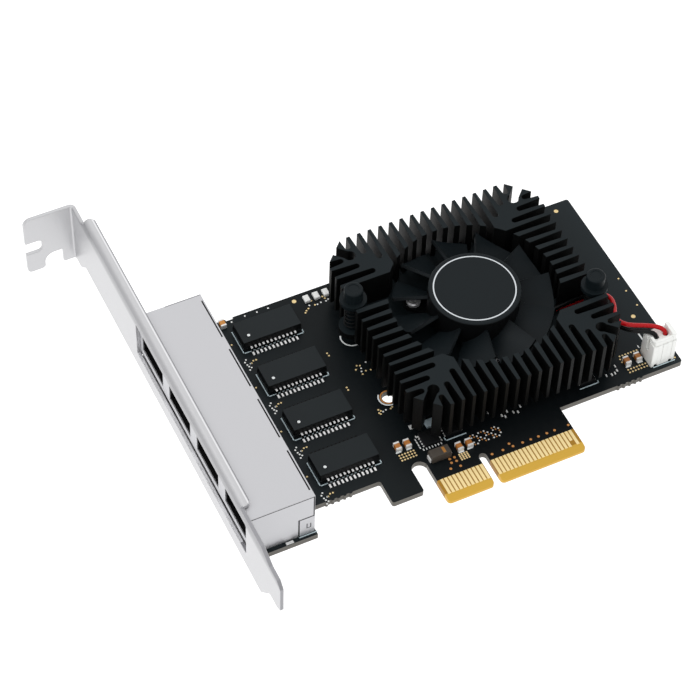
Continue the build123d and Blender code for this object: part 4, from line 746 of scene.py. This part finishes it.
# %% Shield seams and the jacks' front sill
# What shows in an open seam is shadow, so its finish is as dull as a shadow.
seam_dark = finish("open_seam_shadow", "#2E2D31", 0.8, edge_mm=0)
SHIELD_OUTSIDE = 0.35
SEAM_OUT = 0.012
SEAM_IN = 0.05
# Each seam on the near side, as x0, z0, x1, z1.
SEAMS = [(-58.9, 13.95, -43.55, 14.19), (-43.8, 6.9, -43.53, 14.05), (-47.1, 6.84, -43.53, 7.06),
         (-45.45, 3.1, -45.22, 4.8), (-44.55, 3.0, -44.32, 4.6), (-45.45, 3.0, -44.32, 3.2)]
SILL = (-58.58, 5.95, -0.2, -58.25, 67.45, 0.775)

near_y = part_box("jack_housing")[0].y / MM - SHIELD_OUTSIDE
strips = [(x0, near_y - SEAM_OUT, z0, x1, near_y + SEAM_IN, z1) for x0, z0, x1, z1 in SEAMS]
boxes("shield_seams", strips, seam_dark)
solder_tab = (-50.7, near_y - 0.95, TOP, -48.9, near_y - 0.3, TOP + 0.2)
boxes("shield_solder_tab", [solder_tab], solder)
# Black plastic sill, which also serves as painted shade for the gap before the board's edge.
boxes("jack_front_sill_and_gap_shade", [SILL], MATERIALS["jack_housing"])

# %% [markdown]
# ## The fan's two wires
# The fan's lead is a pair of thin stranded wires in soft insulation. They come out of the fan
# frame, run across the cooler in its wire gap and turn down into the plug. Each wire is a smooth
# spline whose control points are the route of the CAD tube, so the wire can be laid differently
# later, while its length and its two ends stay what they are.

# %% Wires
WIRE_DIAMETER = 1.1 * MM
ROUTES = {
    "lead_wire_red": [
        (20.68, 38.77, 6.72), (25.0, 36.3, 6.7), (30.6, 35.2, 6.75), (36.5, 34.95, 6.7),
        (41.6, 35.0, 6.75), (44.9, 34.4, 7.1), (46.1, 32.2, 7.9), (45.4, 29.2, 8.6), (44.0, 26.6, 8.9),
        (43.4, 24.3, 9.2), (44.4, 22.3, 9.5), (46.0, 21.2, 9.6), (47.7, 20.3, 9.7), (49.3, 19.3, 9.85),
        (50.7, 18.3, 9.9), (51.6, 17.5, 9.55), (52.1, 16.8, 8.95), (52.1, 16.8, 7.185)],
    "lead_wire_black": [
        (20.02, 37.72, 6.72), (24.4, 35.2, 7.0), (29.8, 34.3, 7.8), (36.0, 34.9, 7.9),
        (41.2, 34.95, 7.95), (43.9, 34.1, 8.25), (44.6, 31.8, 8.3), (44.3, 29.0, 8.0), (43.5, 26.6, 7.8),
        (43.2, 24.2, 7.9), (44.2, 22.0, 8.3), (45.5, 20.5, 8.7), (46.9, 19.4, 9.0), (48.2, 18.4, 9.3),
        (49.1, 17.6, 9.2), (49.6, 16.8, 8.95), (49.6, 16.8, 7.185)],
}
# Soft plastic, extruded over the strands: a smooth skin with a clear line of light along it.
WIRE_FINISHES = {
    "lead_wire_red": finish("red_soft_wire_insulation", "#B4040F", 0.3, grain_mm=0.5, tint=0.05,
                            Specular_IOR_Level=0.25),
    "lead_wire_black": finish("black_soft_wire_insulation", "#08090A", 0.3, grain_mm=0.5,
                              tint=0.05, Specular_IOR_Level=0.2),
}


def wire(node):
    """Round wire along a quadratic spline through the route's control points."""
    line = bpy.data.curves.new("fan_" + node, "CURVE")
    line.dimensions = "3D"
    line.bevel_depth = WIRE_DIAMETER / 2
    line.bevel_resolution = 4
    line.resolution_u = 10
    line.use_fill_caps = True
    spline = line.splines.new("NURBS")
    spline.points.add(len(ROUTES[node]) - 1)
    for point, place in zip(spline.points, ROUTES[node]):
        point.co = (*(c * MM for c in place), 1.0)
    spline.order_u = 3
    spline.use_endpoint_u = True
    made = bpy.data.objects.new("fan_" + node, line)
    bpy.context.scene.collection.objects.link(made)
    made.data.materials.append(WIRE_FINISHES[node])
    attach(made, "card")
    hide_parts(node)
    return made


wires = {node: wire(node) for node in ROUTES}
for node, made in wires.items():
    start = tuple(c * MM for c in ROUTES[node][0])
